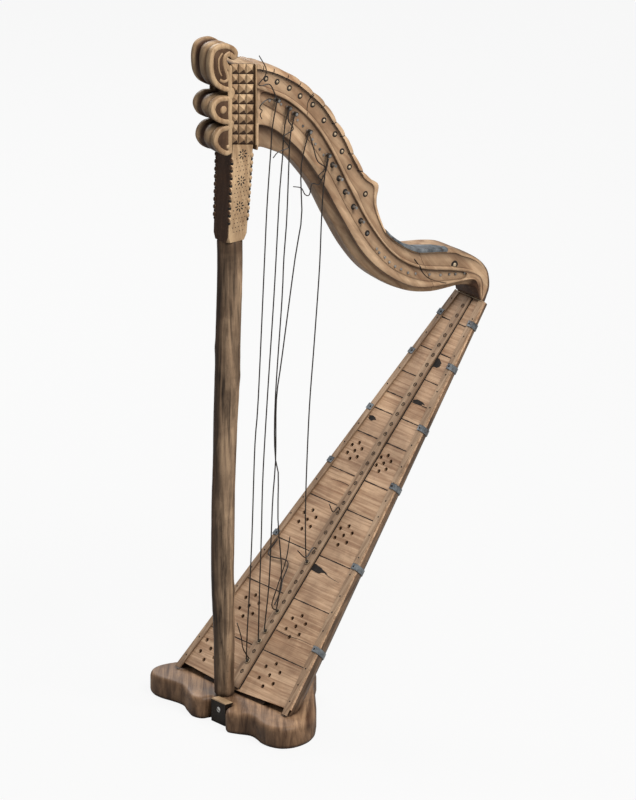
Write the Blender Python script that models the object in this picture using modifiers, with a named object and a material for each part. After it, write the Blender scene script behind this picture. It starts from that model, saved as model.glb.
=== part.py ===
"""A floor harp with a lobed foot slab, a bowed pillar, a carved head and neck, and a leaning soundbox.

Metres, +Z up. +X runs from the pillar to the top of the soundbox, and -Y is the string side of the neck.
The origin lies on the floor, under the line where the front of the soundboard meets the foot slab.
Soundbox pieces hang under an empty: its Z runs up the board, its X goes down into the box.
"""

import math

import bmesh
import bpy
from mathutils import Vector

# Clearances
GAP = 0.0003                      # between pieces that touch
PIN_CLEARANCE = 0.0003            # around a tuning pin, on the radius

# Foot slab
SLAB_THICKNESS = 0.044
SLAB_EDGE_ROUND = 0.006
SLAB_NEAR_WIDTH = 0.228           # from the pillar's axis out to each side
SLAB_FAR_WIDTH = 0.212
SLAB_FRONT = -0.070               # tips of the two inner lobes
SLAB_REAR = 0.205
FOOT_BLOCK_HALF_WIDTH = 0.0215
FOOT_BLOCK_MIDDLE = -0.028        # y, in the notch between the lobes
FOOT_BLOCK_FRONT = -0.052
FOOT_BLOCK_REAR = -0.0330         # let into the slab
FOOT_BLOCK_ROUND = 0.0015
FOOT_BLOCK_RISE = 0.003           # above the slab's top

# Soundbox; a share says how far up the board a thing sits
BOARD_LENGTH = 0.9126
BOARD_LEAN = math.radians(40.7)   # from the vertical
BOARD_THICKNESS = 0.005
BOARD_START = 0.009               # the lowest board stops short of the slab
BOARD_SIDE_START = 0.0175         # and further from it at its sides
HALF_WIDTH_FOOT = 0.177
HALF_WIDTH_TOP = 0.0445
DEPTH_FOOT = 0.080
DEPTH_TOP = 0.020
STAVE_THICKNESS = 0.0045
STAVE_COUNT = 5
STAVE_STEPS = 3                   # flats across one stave
STAVE_JOINT = 0.0006              # open joint between staves
SEAM_SHARES = (0.1140, 0.2433, 0.3506, 0.4657, 0.5391, 0.6334, 0.6947, 0.7375, 0.7922, 0.8580, 0.9336)
BAND_THICKNESS = 0.003
BAND_START = 0.0135               # clear of the pillar's foot
BAND_WIDTH_FOOT = 0.031
BAND_WIDTH_TOP = 0.019
BATTEN_WIDTH = 0.014
BATTEN_THICKNESS = 0.003
BATTEN_START = 0.003
STRAP_SHARES = (0.1600, 0.3583, 0.5512, 0.6914, 0.8394, 0.9424)
STRAP_WIDTH = 0.012
STRAP_THICKNESS = 0.0012
STRAP_REACH = 0.0125              # onto the front of the batten
BRACE_WIDTH = 0.030
BRACE_DEPTH = 0.012
BRACE_START = 0.150
BRACE_STOP = 0.0226               # short of the top block
RIB_SHARES = (0.4109, 0.7177)
RIB_WIDTH = 0.014
RIB_THICKNESS = 0.008
TOP_BLOCK_LENGTH = 0.050
TAIL_BLOCK_HEIGHT = 0.036
TAIL_BLOCK_DEPTH = 0.038
TAIL_BLOCK_HALF_WIDTH = 0.095

# String holes, string pegs and rosettes in the soundboard
HOLE_COUNT = 38
HOLE_FIRST = 0.048
HOLE_STOP = 0.0246                # from the last hole to the end of the board
HOLE_RADIUS = 0.0017
PEG_RADIUS = 0.0023
PEG_HEAD_RADIUS = 0.0038
PEG_HEAD_HEIGHT = 0.0035
PEG_HOLES = (2, 4, 7, 5, 12)      # the holes that the strings end in, string by string
ROSETTE_HOLE_RADIUS = 0.0046
ROSETTES = (                      # share, distance across to the far and the near one, radius of the ring
    (0.0690, 0.1165, 0.0710, 0.0255), (0.1885, 0.0850, 0.0630, 0.0240),
    (0.4109, 0.0700, 0.0450, 0.0213), (0.5895, 0.0555, 0.0360, 0.0180),
)

# Pillar and capital
PILLAR_FOOT_X = -0.0145
PILLAR_BOW_X = -0.0190            # where the bow reaches furthest forward
PILLAR_TOP_X = 0.0000
PILLAR_BOW_HEIGHT = 0.320
PILLAR_TOP = 0.985
PILLAR_RADIUS_FOOT = 0.0195
PILLAR_RADIUS_BOW = 0.0225
PILLAR_RADIUS_TOP = 0.0250
TENON_RADIUS = 0.0125
TENON_LENGTH = 0.026
CAPITAL_TOP_X = 0.0125
CAPITAL_TOP = 1.1815              # on the capital's axis
CAPITAL_WIDTH_FOOT = 0.0465
CAPITAL_WIDTH_TOP = 0.0520
CAPITAL_CHAMFER = 0.012           # height of the cut corners at its foot
CAPITAL_CUT = 0.30                # share of the half-width that is cut off there
JOINT_SLOPE = math.radians(12.0)  # fall of the head's level lines towards the neck

# Head
HEAD_HALF_WIDTH = 0.030
HEAD_LEFT = -0.0160
HEAD_RIGHT = 0.0430
HEAD_HEIGHT = 0.165
DIAMOND_COLUMNS = 3
DIAMOND_ROWS = 8
DIAMOND_RISE = 0.0035
SCROLL_HALF_WIDTH = 0.0295
SCROLL_ROUND = 0.0025

# Neck
NECK_HALF_WIDTH_HEAD = 0.0300
NECK_HALF_WIDTH_END = 0.0375
NECK_STATIONS = 40
SHOULDER_STATIONS = 9             # rings from the last knot to the soundbox
NECK_KNOTS = (                    # share of the way along, and x on each of the five curves there
    (0.400, (0.302, 0.248, 0.221, 0.224, 0.237)),
    (0.710, (0.425, 0.430, 0.440, 0.450, 0.462)),
    (0.900, (0.590, 0.567, 0.563, 0.560, 0.556)),
)
SCARF_TOP = (0.433, 0.885)        # the shoulder piece's slanting joint with the neck, as (x, z)
SCARF_FOOT = (0.487, 0.768)
NECK_DRAWN_START = 0.0445         # x where the neck's curves begin
NECK_DRAWN_END = (0.595301, 0.736101)   # and where they are drawn to meet the soundbox
SCARF_FIRST = 0.600               # rings this far before and after the joint reach clear of it
SCARF_LAST = 0.850
RAIL_DEPTH = 0.0025
CHANNEL_DEPTH = 0.0040
COVE_DEPTH = 0.0170
CROWN_HEIGHT = 0.0020
SHOULDER_BULGE = 0.0225           # the shoulder's back takes the soundbox's round
PLATE_THICKNESS = 0.0012
PLATE_CLEARANCE = 0.0009          # bridges the neck's flats
PLATE_START = 0.600
PLATE_END = 0.800
PLATE_DROP = 0.10                 # share of the way from the crest down to the pin channel
PLATE_REACH = 0.90                # share of the near half-width that it covers in its middle
PLATE_END_REACH = 0.30            # and at its two ends
PLATE_FOLDS = (0.13, 0.50, 1.0)   # shares of that reach where it is bent

# Tuning pins (x, z on the string side), and their sizes
PIN_PLACES = (
    (0.091, 1.258), (0.119, 1.236), (0.134, 1.221), (0.169, 1.177), (0.216, 1.118),
    (0.230, 1.094), (0.246, 1.063), (0.261, 1.032), (0.281, 0.997), (0.299, 0.964),
)
PIN_RADIUS = 0.0030
PIN_STRING_SIDE = 0.007           # stands out of the neck's face
PIN_KEY_SIDE = 0.024
PIN_SQUARE = 0.0042               # the flattened key end's width
PIN_SQUARE_LENGTH = 0.015

# Strings
STRING_RADIUS = 0.0013
STRING_SPACING = 0.016            # between the points of a string's tube

COLLECTION_NAME = "harp"


def shoulder_point(into):
    """A point (x, z) on the end of the soundbox, at a depth behind the face of the boards."""
    up = BOARD_LENGTH + GAP
    return (
        up * math.sin(BOARD_LEAN) + into * math.cos(BOARD_LEAN),
        SLAB_THICKNESS + up * math.cos(BOARD_LEAN) - into * math.sin(BOARD_LEAN),
    )


def with_box(x, z):
    """A place on the neck as drawn, moved along with the end of the soundbox."""
    share = (x - NECK_DRAWN_START) / (NECK_DRAWN_END[0] - NECK_DRAWN_START)
    end = shoulder_point(0.0)
    return x + (end[0] - NECK_DRAWN_END[0]) * share, z + (end[1] - NECK_DRAWN_END[1]) * share


def follow_box(places):
    return [with_box(*place) for place in places]


# Curves of the neck on its string side, head to shoulder, as (x, z)
CREST = (*follow_box((
    (0.0445, 1.338), (0.086, 1.321), (0.121, 1.301), (0.151, 1.280), (0.181, 1.252), (0.210, 1.222),
    (0.237, 1.181), (0.258, 1.149), (0.279, 1.107), (0.302, 1.066), (0.318, 1.047), (0.339, 1.030),
    (0.336, 1.003), (0.337, 0.985), (0.347, 0.955), (0.360, 0.929), (0.386, 0.905), (0.415, 0.885),
    (0.440, 0.873), (0.495, 0.864), (0.532, 0.855), (0.549, 0.845), (0.573, 0.833), (0.593, 0.817),
    (0.607, 0.795), (0.610, 0.774), (0.607, 0.755),
)), shoulder_point(0.0))
CHANNEL_TOP = (*follow_box((
    (0.0445, 1.291), (0.072, 1.277), (0.121, 1.249), (0.178, 1.196), (0.224, 1.128), (0.272, 1.036),
    (0.321, 0.951), (0.377, 0.880), (0.442, 0.837), (0.525, 0.814), (0.567, 0.801), (0.593, 0.783),
    (0.597, 0.755),
)), shoulder_point(-0.0025))
CHANNEL_FOOT = (*follow_box((
    (0.0445, 1.262), (0.076, 1.243), (0.127, 1.205), (0.171, 1.156), (0.219, 1.080), (0.268, 0.990),
    (0.321, 0.907), (0.377, 0.848), (0.452, 0.808), (0.534, 0.793), (0.567, 0.790), (0.587, 0.777),
    (0.590, 0.755),
)), shoulder_point(-0.0050))
MOULDING_FOOT = (*follow_box((
    (0.0445, 1.221), (0.079, 1.206), (0.123, 1.170), (0.157, 1.133), (0.206, 1.062), (0.253, 0.980),
    (0.302, 0.901), (0.358, 0.845), (0.424, 0.804), (0.487, 0.791), (0.549, 0.788), (0.577, 0.784),
    (0.586, 0.770), (0.587, 0.755),
)), shoulder_point(-0.0075))
UNDERSIDE = (*follow_box((
    (0.0445, 1.164), (0.071, 1.160), (0.100, 1.147), (0.134, 1.127), (0.162, 1.097), (0.197, 1.050),
    (0.237, 0.977), (0.280, 0.906), (0.333, 0.845), (0.408, 0.796), (0.479, 0.775), (0.555, 0.773),
    (0.578, 0.768), (0.585, 0.755),
)), shoulder_point(-0.0100))

# Outline of the three head scrolls, as (x, z), from the head block's top corner round to its foot
SCROLL_OUTLINE = (
    (-0.0163, 1.348), (-0.024, 1.353), (-0.030, 1.365), (-0.024, 1.370), (-0.015, 1.361), (-0.005, 1.364),
    (-0.002, 1.374), (-0.008, 1.385), (-0.022, 1.395), (-0.037, 1.399), (-0.055, 1.398), (-0.067, 1.389),
    (-0.072, 1.368), (-0.069, 1.338), (-0.057, 1.317), (-0.038, 1.303), (-0.0205, 1.296), (-0.024, 1.290),
    (-0.045, 1.292), (-0.062, 1.284), (-0.068, 1.268), (-0.058, 1.248), (-0.040, 1.236), (-0.0210, 1.230),
    (-0.043, 1.229), (-0.058, 1.217), (-0.061, 1.199), (-0.049, 1.180), (-0.030, 1.169), (-0.0163, 1.172),
)

# The foot slab's outline on each side, as (x, distance across), from the front notch round to the rear
SLAB_NEAR = (
    (-0.040, 0.053), (-0.057, 0.060), (SLAB_FRONT, 0.078), (-0.061, 0.100), (-0.048, 0.122), (-0.050, 0.144),
    (-0.056, 0.167), (-0.055, 0.193), (-0.043, 0.217), (-0.018, SLAB_NEAR_WIDTH), (0.015, 0.224),
    (0.045, 0.208),
    (0.070, 0.182), (0.092, 0.155), (0.112, 0.128), (0.134, 0.098), (0.157, 0.066), (0.182, 0.036),
    (SLAB_REAR, 0.010),
)
SLAB_FAR = (
    (-0.040, 0.002), (-0.062, 0.010), (SLAB_FRONT, 0.033), (-0.061, 0.061), (-0.048, 0.092), (-0.050, 0.122),
    (-0.056, 0.150), (-0.055, 0.177), (-0.043, 0.200), (-0.018, SLAB_FAR_WIDTH), (0.015, 0.209),
    (0.045, 0.196),
    (0.070, 0.175), (0.092, 0.151), (0.112, 0.126), (0.134, 0.097), (0.157, 0.066), (0.182, 0.036),
    (SLAB_REAR, 0.010),
)

# Routes of the strings, from the tuning pin down to the peg
STRING_ROUTES = (
    ((0.084, -0.0385, 1.240), (0.075, -0.038, 1.208), (0.073, -0.037, 1.171), (0.066, -0.033, 1.049),
     (0.062, -0.030, 0.937), (0.053, -0.021, 0.646), (0.047, -0.018, 0.551), (0.044, -0.012, 0.358),
     (0.040, -0.007, 0.220), (0.037, -0.006, 0.165)),
    ((0.110, -0.0385, 1.222), (0.104, -0.038, 1.196), (0.101, -0.037, 1.142), (0.096, -0.034, 1.070),
     (0.093, -0.032, 1.000), (0.087, -0.027, 0.850), (0.076, -0.020, 0.640), (0.069, -0.015, 0.481),
     (0.068, -0.011, 0.353), (0.066, -0.007, 0.225)),
    ((0.125, -0.0385, 1.206), (0.119, -0.038, 1.181), (0.117, -0.037, 1.137), (0.115, -0.032, 1.009),
     (0.110, -0.029, 0.926), (0.108, -0.026, 0.845), (0.099, -0.016, 0.635), (0.101, -0.012, 0.522),
     (0.110, -0.011, 0.479), (0.111, -0.009, 0.376), (0.122, -0.006, 0.265)),
    ((0.159, -0.0385, 1.163), (0.152, -0.038, 1.140), (0.146, -0.037, 1.107), (0.147, -0.036, 1.067),
     (0.149, -0.035, 1.002), (0.136, -0.031, 0.921), (0.108, -0.025, 0.720), (0.097, -0.022, 0.636),
     (0.099, -0.017, 0.513), (0.095, -0.013, 0.431), (0.093, -0.010, 0.347), (0.090, -0.007, 0.251)),
    ((0.204, -0.0385, 1.100), (0.202, -0.038, 1.070), (0.199, -0.034, 0.991), (0.197, -0.030, 0.886),
     (0.189, -0.023, 0.727), (0.182, -0.017, 0.595), (0.179, -0.010, 0.423), (0.181, -0.006, 0.330)),
)


def clear_scene():
    for item in list(bpy.data.objects):
        bpy.data.objects.remove(item, do_unlink=True)


def make_collection(name):
    made = bpy.data.collections.new(name)
    bpy.context.scene.collection.children.link(made)
    return made


def material(name, colour, roughness, metallic=0.0):
    made = bpy.data.materials.new(name)
    made.use_nodes = True
    shader = made.node_tree.nodes["Principled BSDF"]
    shader.inputs["Base Color"].default_value = (*colour, 1.0)
    shader.inputs["Roughness"].default_value = roughness
    shader.inputs["Metallic"].default_value = metallic
    made.diffuse_color = (*colour, 1.0)
    return made


class Shop:
    """Collections and materials that every piece draws on."""

    def __init__(self):
        self.parts = make_collection(COLLECTION_NAME)
        self.cutters = make_collection(COLLECTION_NAME + "_cutters")
        self.cutters.hide_render = True
        self.slab_wood = material("slab_wood", (0.36, 0.24, 0.13), 0.5)
        self.block_wood = material("block_wood", (0.42, 0.28, 0.15), 0.6)
        self.pillar_wood = material("pillar_wood", (0.33, 0.22, 0.14), 0.6)
        self.carved_wood = material("carved_wood", (0.55, 0.38, 0.20), 0.55)
        self.neck_wood = material("neck_wood", (0.47, 0.30, 0.15), 0.5)
        self.board_wood = material("board_wood", (0.52, 0.36, 0.20), 0.6)
        self.trim_wood = material("trim_wood", (0.30, 0.18, 0.09), 0.6)
        self.back_wood = material("back_wood", (0.24, 0.15, 0.08), 0.6)
        self.inner_wood = material("inner_wood", (0.50, 0.38, 0.24), 0.7)
        self.strap_metal = material("strap_metal", (0.35, 0.38, 0.40), 0.45, 0.8)
        self.pin_metal = material("pin_metal", (0.30, 0.30, 0.31), 0.4, 1.0)
        self.peg_wood = material("peg_wood", (0.12, 0.08, 0.05), 0.5)
        self.gut = material("gut", (0.55, 0.47, 0.33), 0.5)
        self.box_frame = bpy.data.objects.new("soundbox_frame", None)
        self.parts.objects.link(self.box_frame)
        self.box_frame.location = (0.0, 0.0, SLAB_THICKNESS)
        self.box_frame.rotation_euler = (0.0, BOARD_LEAN, 0.0)


def finish(mesh, made_of, smooth_angle=40.0):
    mesh.materials.append(made_of)
    mesh.shade_smooth()
    mesh.set_sharp_from_angle(angle=math.radians(smooth_angle))


def add_bmesh(shop, name, shape, made_of, parent=None, collection=None):
    """Puts a bmesh into the scene as one named object."""
    bmesh.ops.recalc_face_normals(shape, faces=shape.faces)
    mesh = bpy.data.meshes.new(name)
    shape.to_mesh(mesh)
    shape.free()
    made = bpy.data.objects.new(name, mesh)
    (collection or shop.parts).objects.link(made)
    if made_of:
        finish(mesh, made_of)
    made.parent = parent
    return made


def make_cutter(cutter):
    cutter.hide_render = True
    cutter.display_type = "WIRE"
    return cutter


def cut(target, cutter, operation="DIFFERENCE"):
    step = target.modifiers.new("cut_by_" + cutter.name, "BOOLEAN")
    step.operation = operation
    step.solver = "EXACT"
    step.object = cutter


def bevel(target, width, segments=1, angle=50.0):
    step = target.modifiers.new("rounded_edges", "BEVEL")
    step.width = width
    step.segments = segments
    step.limit_method = "ANGLE"
    step.angle_limit = math.radians(angle)


def smooth_route(points, share):
    """A point on the smooth curve through all the points, at a share of its way along."""
    spans = [(Vector(b) - Vector(a)).length for a, b in zip(points, points[1:])]
    left = min(max(share, 0.0), 1.0) * sum(spans)
    index = 0
    while index < len(spans) - 1 and left > spans[index]:
        left -= spans[index]
        index += 1
    t = min(left / spans[index], 1.0)
    p1, p2 = Vector(points[index]), Vector(points[index + 1])
    p0 = Vector(points[index - 1]) if index else p1 * 2 - p2
    p3 = Vector(points[index + 2]) if index + 2 < len(points) else p2 * 2 - p1
    return 0.5 * (
        p1 * 2 + (p2 - p0) * t + (p0 * 2 - p1 * 5 + p2 * 4 - p3) * t * t + (p1 * 3 - p0 - p2 * 3 + p3) * t ** 3
    )


def loft(rings):
    """A closed skin over rings of points, each ring with the same count, with flat ends."""
    shape = bmesh.new()
    rows = [[shape.verts.new(point) for point in ring] for ring in rings]
    count = len(rings[0])
    for lower, upper in zip(rows, rows[1:]):
        for i in range(count):
            j = (i + 1) % count
            shape.faces.new((lower[i], lower[j], upper[j], upper[i]))
    shape.faces.new(list(reversed(rows[0])))
    shape.faces.new(rows[-1])
    return shape


def sheet(rows):
    """An open skin over rows of points."""
    shape = bmesh.new()
    grid = [[shape.verts.new(point) for point in row] for row in rows]
    for lower, upper in zip(grid, grid[1:]):
        for i in range(len(lower) - 1):
            shape.faces.new((lower[i], lower[i + 1], upper[i + 1], upper[i]))
    return shape


def thicken(target, thickness, offset):
    step = target.modifiers.new("thickness", "SOLIDIFY")
    step.thickness = thickness
    step.offset = offset
    step.use_even_offset = True


def add_box(shop, name, low, high, made_of, parent=None, collection=None):
    shape = bmesh.new()
    bmesh.ops.create_cube(shape, size=1.0)
    size = Vector(high) - Vector(low)
    centre = (Vector(high) + Vector(low)) / 2
    bmesh.ops.scale(shape, vec=size, verts=shape.verts)
    bmesh.ops.translate(shape, vec=centre, verts=shape.verts)
    return add_bmesh(shop, name, shape, made_of, parent, collection)


def add_rod(shape, centre, axis, radius, length, sides):
    """Adds a closed cylinder to a bmesh, centred, along an axis."""
    made = bmesh.ops.create_cone(
        shape, cap_ends=True, segments=sides, radius1=radius, radius2=radius, depth=length
    )
    turn = Vector((0.0, 0.0, 1.0)).rotation_difference(Vector(axis)).to_matrix()
    bmesh.ops.rotate(shape, cent=(0.0, 0.0, 0.0), matrix=turn, verts=made["verts"])
    bmesh.ops.translate(shape, vec=centre, verts=made["verts"])


def outline_curve(shop, name, points, half_depth, made_of, smooth=True, steps=4):
    """A flat closed outline, drawn in the curve's own XY plane, with thickness along its Z."""
    curve = bpy.data.curves.new(name, "CURVE")
    curve.dimensions = "2D"
    curve.fill_mode = "BOTH"
    curve.extrude = half_depth
    curve.resolution_u = steps
    spline = curve.splines.new("BEZIER" if smooth else "POLY")
    if smooth:
        spline.bezier_points.add(len(points) - 1)
        for knot, point in zip(spline.bezier_points, points):
            knot.co = (*point, 0.0)
            knot.handle_left_type = knot.handle_right_type = "AUTO"
    else:
        spline.points.add(len(points) - 1)
        for knot, point in zip(spline.points, points):
            knot.co = (*point, 0.0, 1.0)
    spline.use_cyclic_u = True
    curve.materials.append(made_of)
    made = bpy.data.objects.new(name, curve)
    shop.parts.objects.link(made)
    return made


def as_mesh(shop, curve_object):
    """Turns a curve object into a mesh object of the same name and place, with its caps welded."""
    bpy.context.view_layer.update()
    name = curve_object.name
    matrix = curve_object.matrix_world.copy()
    evaluated = curve_object.evaluated_get(bpy.context.evaluated_depsgraph_get())
    mesh = bpy.data.meshes.new_from_object(evaluated)
    shape = bmesh.new()
    shape.from_mesh(mesh)
    bmesh.ops.remove_doubles(shape, verts=shape.verts, dist=0.00005)
    bmesh.ops.recalc_face_normals(shape, faces=shape.faces)
    shape.to_mesh(mesh)
    shape.free()
    bpy.data.objects.remove(curve_object, do_unlink=True)
    made = bpy.data.objects.new(name, mesh)
    made.name = name
    made.matrix_world = matrix
    shop.parts.objects.link(made)
    mesh.shade_smooth()
    mesh.set_sharp_from_angle(angle=math.radians(40.0))
    return made


def tube(shop, name, points, radii, made_of, bevel_steps=2):
    """A round tube on a run of points, thick as its radii say."""
    curve = bpy.data.curves.new(name, "CURVE")
    curve.dimensions = "3D"
    curve.bevel_depth = 1.0
    curve.bevel_resolution = bevel_steps
    curve.use_fill_caps = True
    spline = curve.splines.new("POLY")
    spline.points.add(len(points) - 1)
    for knot, point, radius in zip(spline.points, points, radii):
        knot.co = (*point, 1.0)
        knot.radius = radius
    curve.materials.append(made_of)
    made = bpy.data.objects.new(name, curve)
    shop.parts.objects.link(made)
    return made


# Soundbox geometry in its own frame: X into the box, Y across, Z up the board


def half_width(up):
    return HALF_WIDTH_FOOT + (HALF_WIDTH_TOP - HALF_WIDTH_FOOT) * up / BOARD_LENGTH


def depth(up):
    return DEPTH_FOOT + (DEPTH_TOP - DEPTH_FOOT) * up / BOARD_LENGTH


def up_at(share):
    """A place up the board."""
    return BOARD_LENGTH * share


def back_front_edge():
    """Where the back shell starts, just behind the boards."""
    return BOARD_THICKNESS + GAP


def back_point(up, angle, inset=0.0):
    """A point of the rounded back, at an angle from the far edge, or inset from it."""
    return Vector((
        back_front_edge() + (depth(up) - inset) * math.sin(angle),
        (half_width(up) - inset) * math.cos(angle),
        up,
    ))


def cut_at_slab(shop, target, name):
    """Cuts a piece level, just above the slab."""
    top = SLAB_THICKNESS + GAP
    block = add_box(shop, name + "_floor_cutter", (-0.4, -0.4, -0.4), (0.6, 0.4, top), None, None,
                    shop.cutters)
    cut(target, make_cutter(block))


def build_boards(shop):
    edges = [BOARD_START, *(up_at(share) for share in SEAM_SHARES), BOARD_LENGTH]
    holes = string_hole_cutter(shop)
    for number, (low, high) in enumerate(zip(edges, edges[1:]), start=1):
        low_edge = low + (GAP / 2 if number > 1 else 0.0)
        high_edge = high - GAP / 2
        rings = []
        for up in (low_edge, high_edge):
            w = half_width(up)
            rings.append([(0.0, -w, up), (BOARD_THICKNESS, -w, up), (BOARD_THICKNESS, w, up), (0.0, w, up)])
        shape = loft(rings)
        if number == 1:
            slope_lowest_edge(shape)
        board = add_bmesh(shop, f"soundboard_board_{number:02d}", shape, shop.board_wood, shop.box_frame)
        for share, far, near, ring in ROSETTES:
            if low < up_at(share) < high:
                cut(board, rosette_cutter(shop, number, up_at(share), far, near, ring))
        if any(low < hole_height(i) < high for i in PEG_HOLES):
            cut(board, holes)


def slope_lowest_edge(shape):
    """The lowest board's edge rises from the string band out to both sides."""
    middle = BAND_WIDTH_FOOT / 2
    across, rise = half_width(BOARD_START) - middle, BOARD_SIDE_START - BOARD_START
    for side in (-1, 1):
        facing = Vector((0.0, side * rise, -across)).normalized()
        cut_off(shape, Vector((0.0, side * middle, BOARD_START)), facing)


def hole_height(index):
    last = BOARD_LENGTH - HOLE_STOP
    return HOLE_FIRST + (last - HOLE_FIRST) * (index - 1) / (HOLE_COUNT - 1)


def rosette_cutter(shop, number, up, far, near, ring):
    """Two rosettes of a hole with six round it, one straight up the board."""
    shape = bmesh.new()
    for across in (far, -near):
        centres = [(0.0, 0.0)] + [
            (ring * math.sin(k * math.pi / 3), ring * math.cos(k * math.pi / 3)) for k in range(6)
        ]
        for side, rise in centres:
            add_rod(shape, (BOARD_THICKNESS / 2, across + side, up + rise), (1, 0, 0), ROSETTE_HOLE_RADIUS,
                    BOARD_THICKNESS * 3, 8)
    cutter = add_bmesh(shop, f"rosette_cutter_{number:02d}", shape, None, shop.box_frame, shop.cutters)
    return make_cutter(cutter)


def string_hole_cutter(shop):
    """The holes that hold pegs, through band and board."""
    shape = bmesh.new()
    length = 4 * (BOARD_THICKNESS + BAND_THICKNESS)
    for index in PEG_HOLES:
        add_rod(shape, (0.0, 0.0, hole_height(index)), (1, 0, 0), PEG_RADIUS + GAP, length, 8)
    return make_cutter(add_bmesh(shop, "peg_hole_cutter", shape, None, shop.box_frame, shop.cutters))


def build_band(shop):
    front = -GAP - BAND_THICKNESS
    rings = []
    for up in (BAND_START, BOARD_LENGTH - 0.004):
        share = up / BOARD_LENGTH
        w = (BAND_WIDTH_FOOT + (BAND_WIDTH_TOP - BAND_WIDTH_FOOT) * share) / 2
        rings.append([(front, -w, up), (-GAP, -w, up), (-GAP, w, up), (front, w, up)])
    band = add_bmesh(shop, "string_band", loft(rings), shop.trim_wood, shop.box_frame)
    shape = bmesh.new()
    for index in range(1, HOLE_COUNT + 1):
        radius = PEG_RADIUS + GAP if index in PEG_HOLES else HOLE_RADIUS
        sides = 8 if index in PEG_HOLES else 6
        add_rod(shape, (front / 2, 0.0, hole_height(index)), (1, 0, 0), radius, BAND_THICKNESS * 4, sides)
    cut(band, make_cutter(add_bmesh(shop, "band_hole_cutter", shape, None, shop.box_frame, shop.cutters)))


def build_battens(shop):
    front = -GAP - BATTEN_THICKNESS
    for name, side in (("edge_batten_far", 1.0), ("edge_batten_near", -1.0)):
        rings = []
        for up in (BATTEN_START, BOARD_LENGTH - GAP / 2):
            outer = side * half_width(up)
            inner = side * (half_width(up) - BATTEN_WIDTH)
            rings.append([(front, inner, up), (-GAP, inner, up), (-GAP, outer, up), (front, outer, up)])
        add_bmesh(shop, name, loft(rings), shop.trim_wood, shop.box_frame)


def build_staves(shop):
    """The back: long tapered staves, each a bent shell between two edges."""
    step = math.pi / STAVE_COUNT
    for number in range(STAVE_COUNT):
        rows = []
        for share in (0.0, 1.0):
            row = []
            for k in range(STAVE_STEPS + 1):
                angle = step * (number + k / STAVE_STEPS)
                up = -0.03 if share == 0.0 else BOARD_LENGTH - GAP / 2
                row.append(back_point(up, angle, STAVE_THICKNESS))
            trim = STAVE_JOINT / 2 / half_width(up)
            if number > 0:
                row[0] = back_point(up, step * number + trim, STAVE_THICKNESS)
            if number < STAVE_COUNT - 1:
                row[-1] = back_point(up, step * (number + 1) - trim, STAVE_THICKNESS)
            rows.append(row)
        outer = [[back_outer(point) for point in row] for row in rows]
        ring_low = list(rows[0]) + list(reversed(outer[0]))
        ring_high = list(rows[1]) + list(reversed(outer[1]))
        stave = add_bmesh(shop, f"back_stave_{number + 1}", loft([ring_low, ring_high]), shop.back_wood,
                          shop.box_frame)
        cut_at_slab(shop, stave, stave.name)


def back_outer(inner):
    """The outer point over an inner point of the back."""
    up = inner.z
    across = inner.y / (half_width(up) - STAVE_THICKNESS)
    into = (inner.x - back_front_edge()) / (depth(up) - STAVE_THICKNESS)
    return Vector((back_front_edge() + depth(up) * into, half_width(up) * across, up))


def strap_route(up):
    """Cross-section of the box with the clearance a strap keeps, from one batten round to the other."""
    lift = 2 * GAP
    front = -GAP - BATTEN_THICKNESS - GAP
    side = half_width(up) + lift
    half = [(front, side - lift - STRAP_REACH), (front, side), (back_front_edge(), side)]
    steps = STAVE_COUNT * STAVE_STEPS
    arc = []
    for k in range(1, steps):
        angle = math.pi * k / steps
        arc.append((
            back_front_edge() + (depth(up) + lift) * math.sin(angle),
            (half_width(up) + lift) * math.cos(angle),
        ))
    other = [(x, -y) for x, y in reversed(half)]
    return [Vector((x, y, up)) for x, y in half + arc + other]


def build_straps(shop):
    for number, up in enumerate(map(up_at, STRAP_SHARES), start=1):
        rows = [strap_route(up - STRAP_WIDTH / 2), strap_route(up + STRAP_WIDTH / 2)]
        strap = add_bmesh(shop, f"strap_{number}", sheet(rows), shop.strap_metal, shop.box_frame)
        thicken(strap, STRAP_THICKNESS, 1.0)
        cut_at_slab(shop, strap, strap.name)


def build_inner_frame(shop):
    front = BOARD_THICKNESS + GAP
    brace_end = BOARD_LENGTH - TOP_BLOCK_LENGTH - BRACE_STOP
    low, high = (front, -BRACE_WIDTH / 2, BRACE_START), (front + BRACE_DEPTH, BRACE_WIDTH / 2, brace_end)
    add_box(shop, "centre_brace", low, high, shop.inner_wood, shop.box_frame)
    for number, up in enumerate(map(up_at, RIB_SHARES), start=1):
        rings = []
        for k in range(13):
            angle = math.pi * k / 12
            ring = []
            for inset, rise in ((0, -1), (0, 1), (1, 1), (1, -1)):
                height = up + rise * RIB_THICKNESS / 2
                ring.append(back_point(height, angle, STAVE_THICKNESS + 2 * GAP + 0.001 + inset * RIB_WIDTH))
            rings.append(ring)
        add_bmesh(shop, f"back_rib_{number}", loft(rings), shop.inner_wood, shop.box_frame)
    rings = []
    for up in (BOARD_LENGTH - TOP_BLOCK_LENGTH, BOARD_LENGTH - GAP / 2):
        inset = STAVE_THICKNESS + 2 * GAP + 0.0005
        rings.append([back_point(up, math.pi * k / 10, inset) for k in range(11)])
    add_bmesh(shop, "top_block", loft(rings), shop.inner_wood, shop.box_frame)
    low = SLAB_THICKNESS + GAP
    high = low + TAIL_BLOCK_HEIGHT
    profile = [
        (board_back_x(low), low), (board_back_x(low) + TAIL_BLOCK_DEPTH * 1.6, low),
        (board_back_x(high) + TAIL_BLOCK_DEPTH, high), (board_back_x(high), high),
    ]
    block = outline_curve(shop, "tail_block", profile, TAIL_BLOCK_HALF_WIDTH, shop.inner_wood, smooth=False)
    block.rotation_euler = (math.pi / 2, 0.0, 0.0)
    as_mesh(shop, block)


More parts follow.
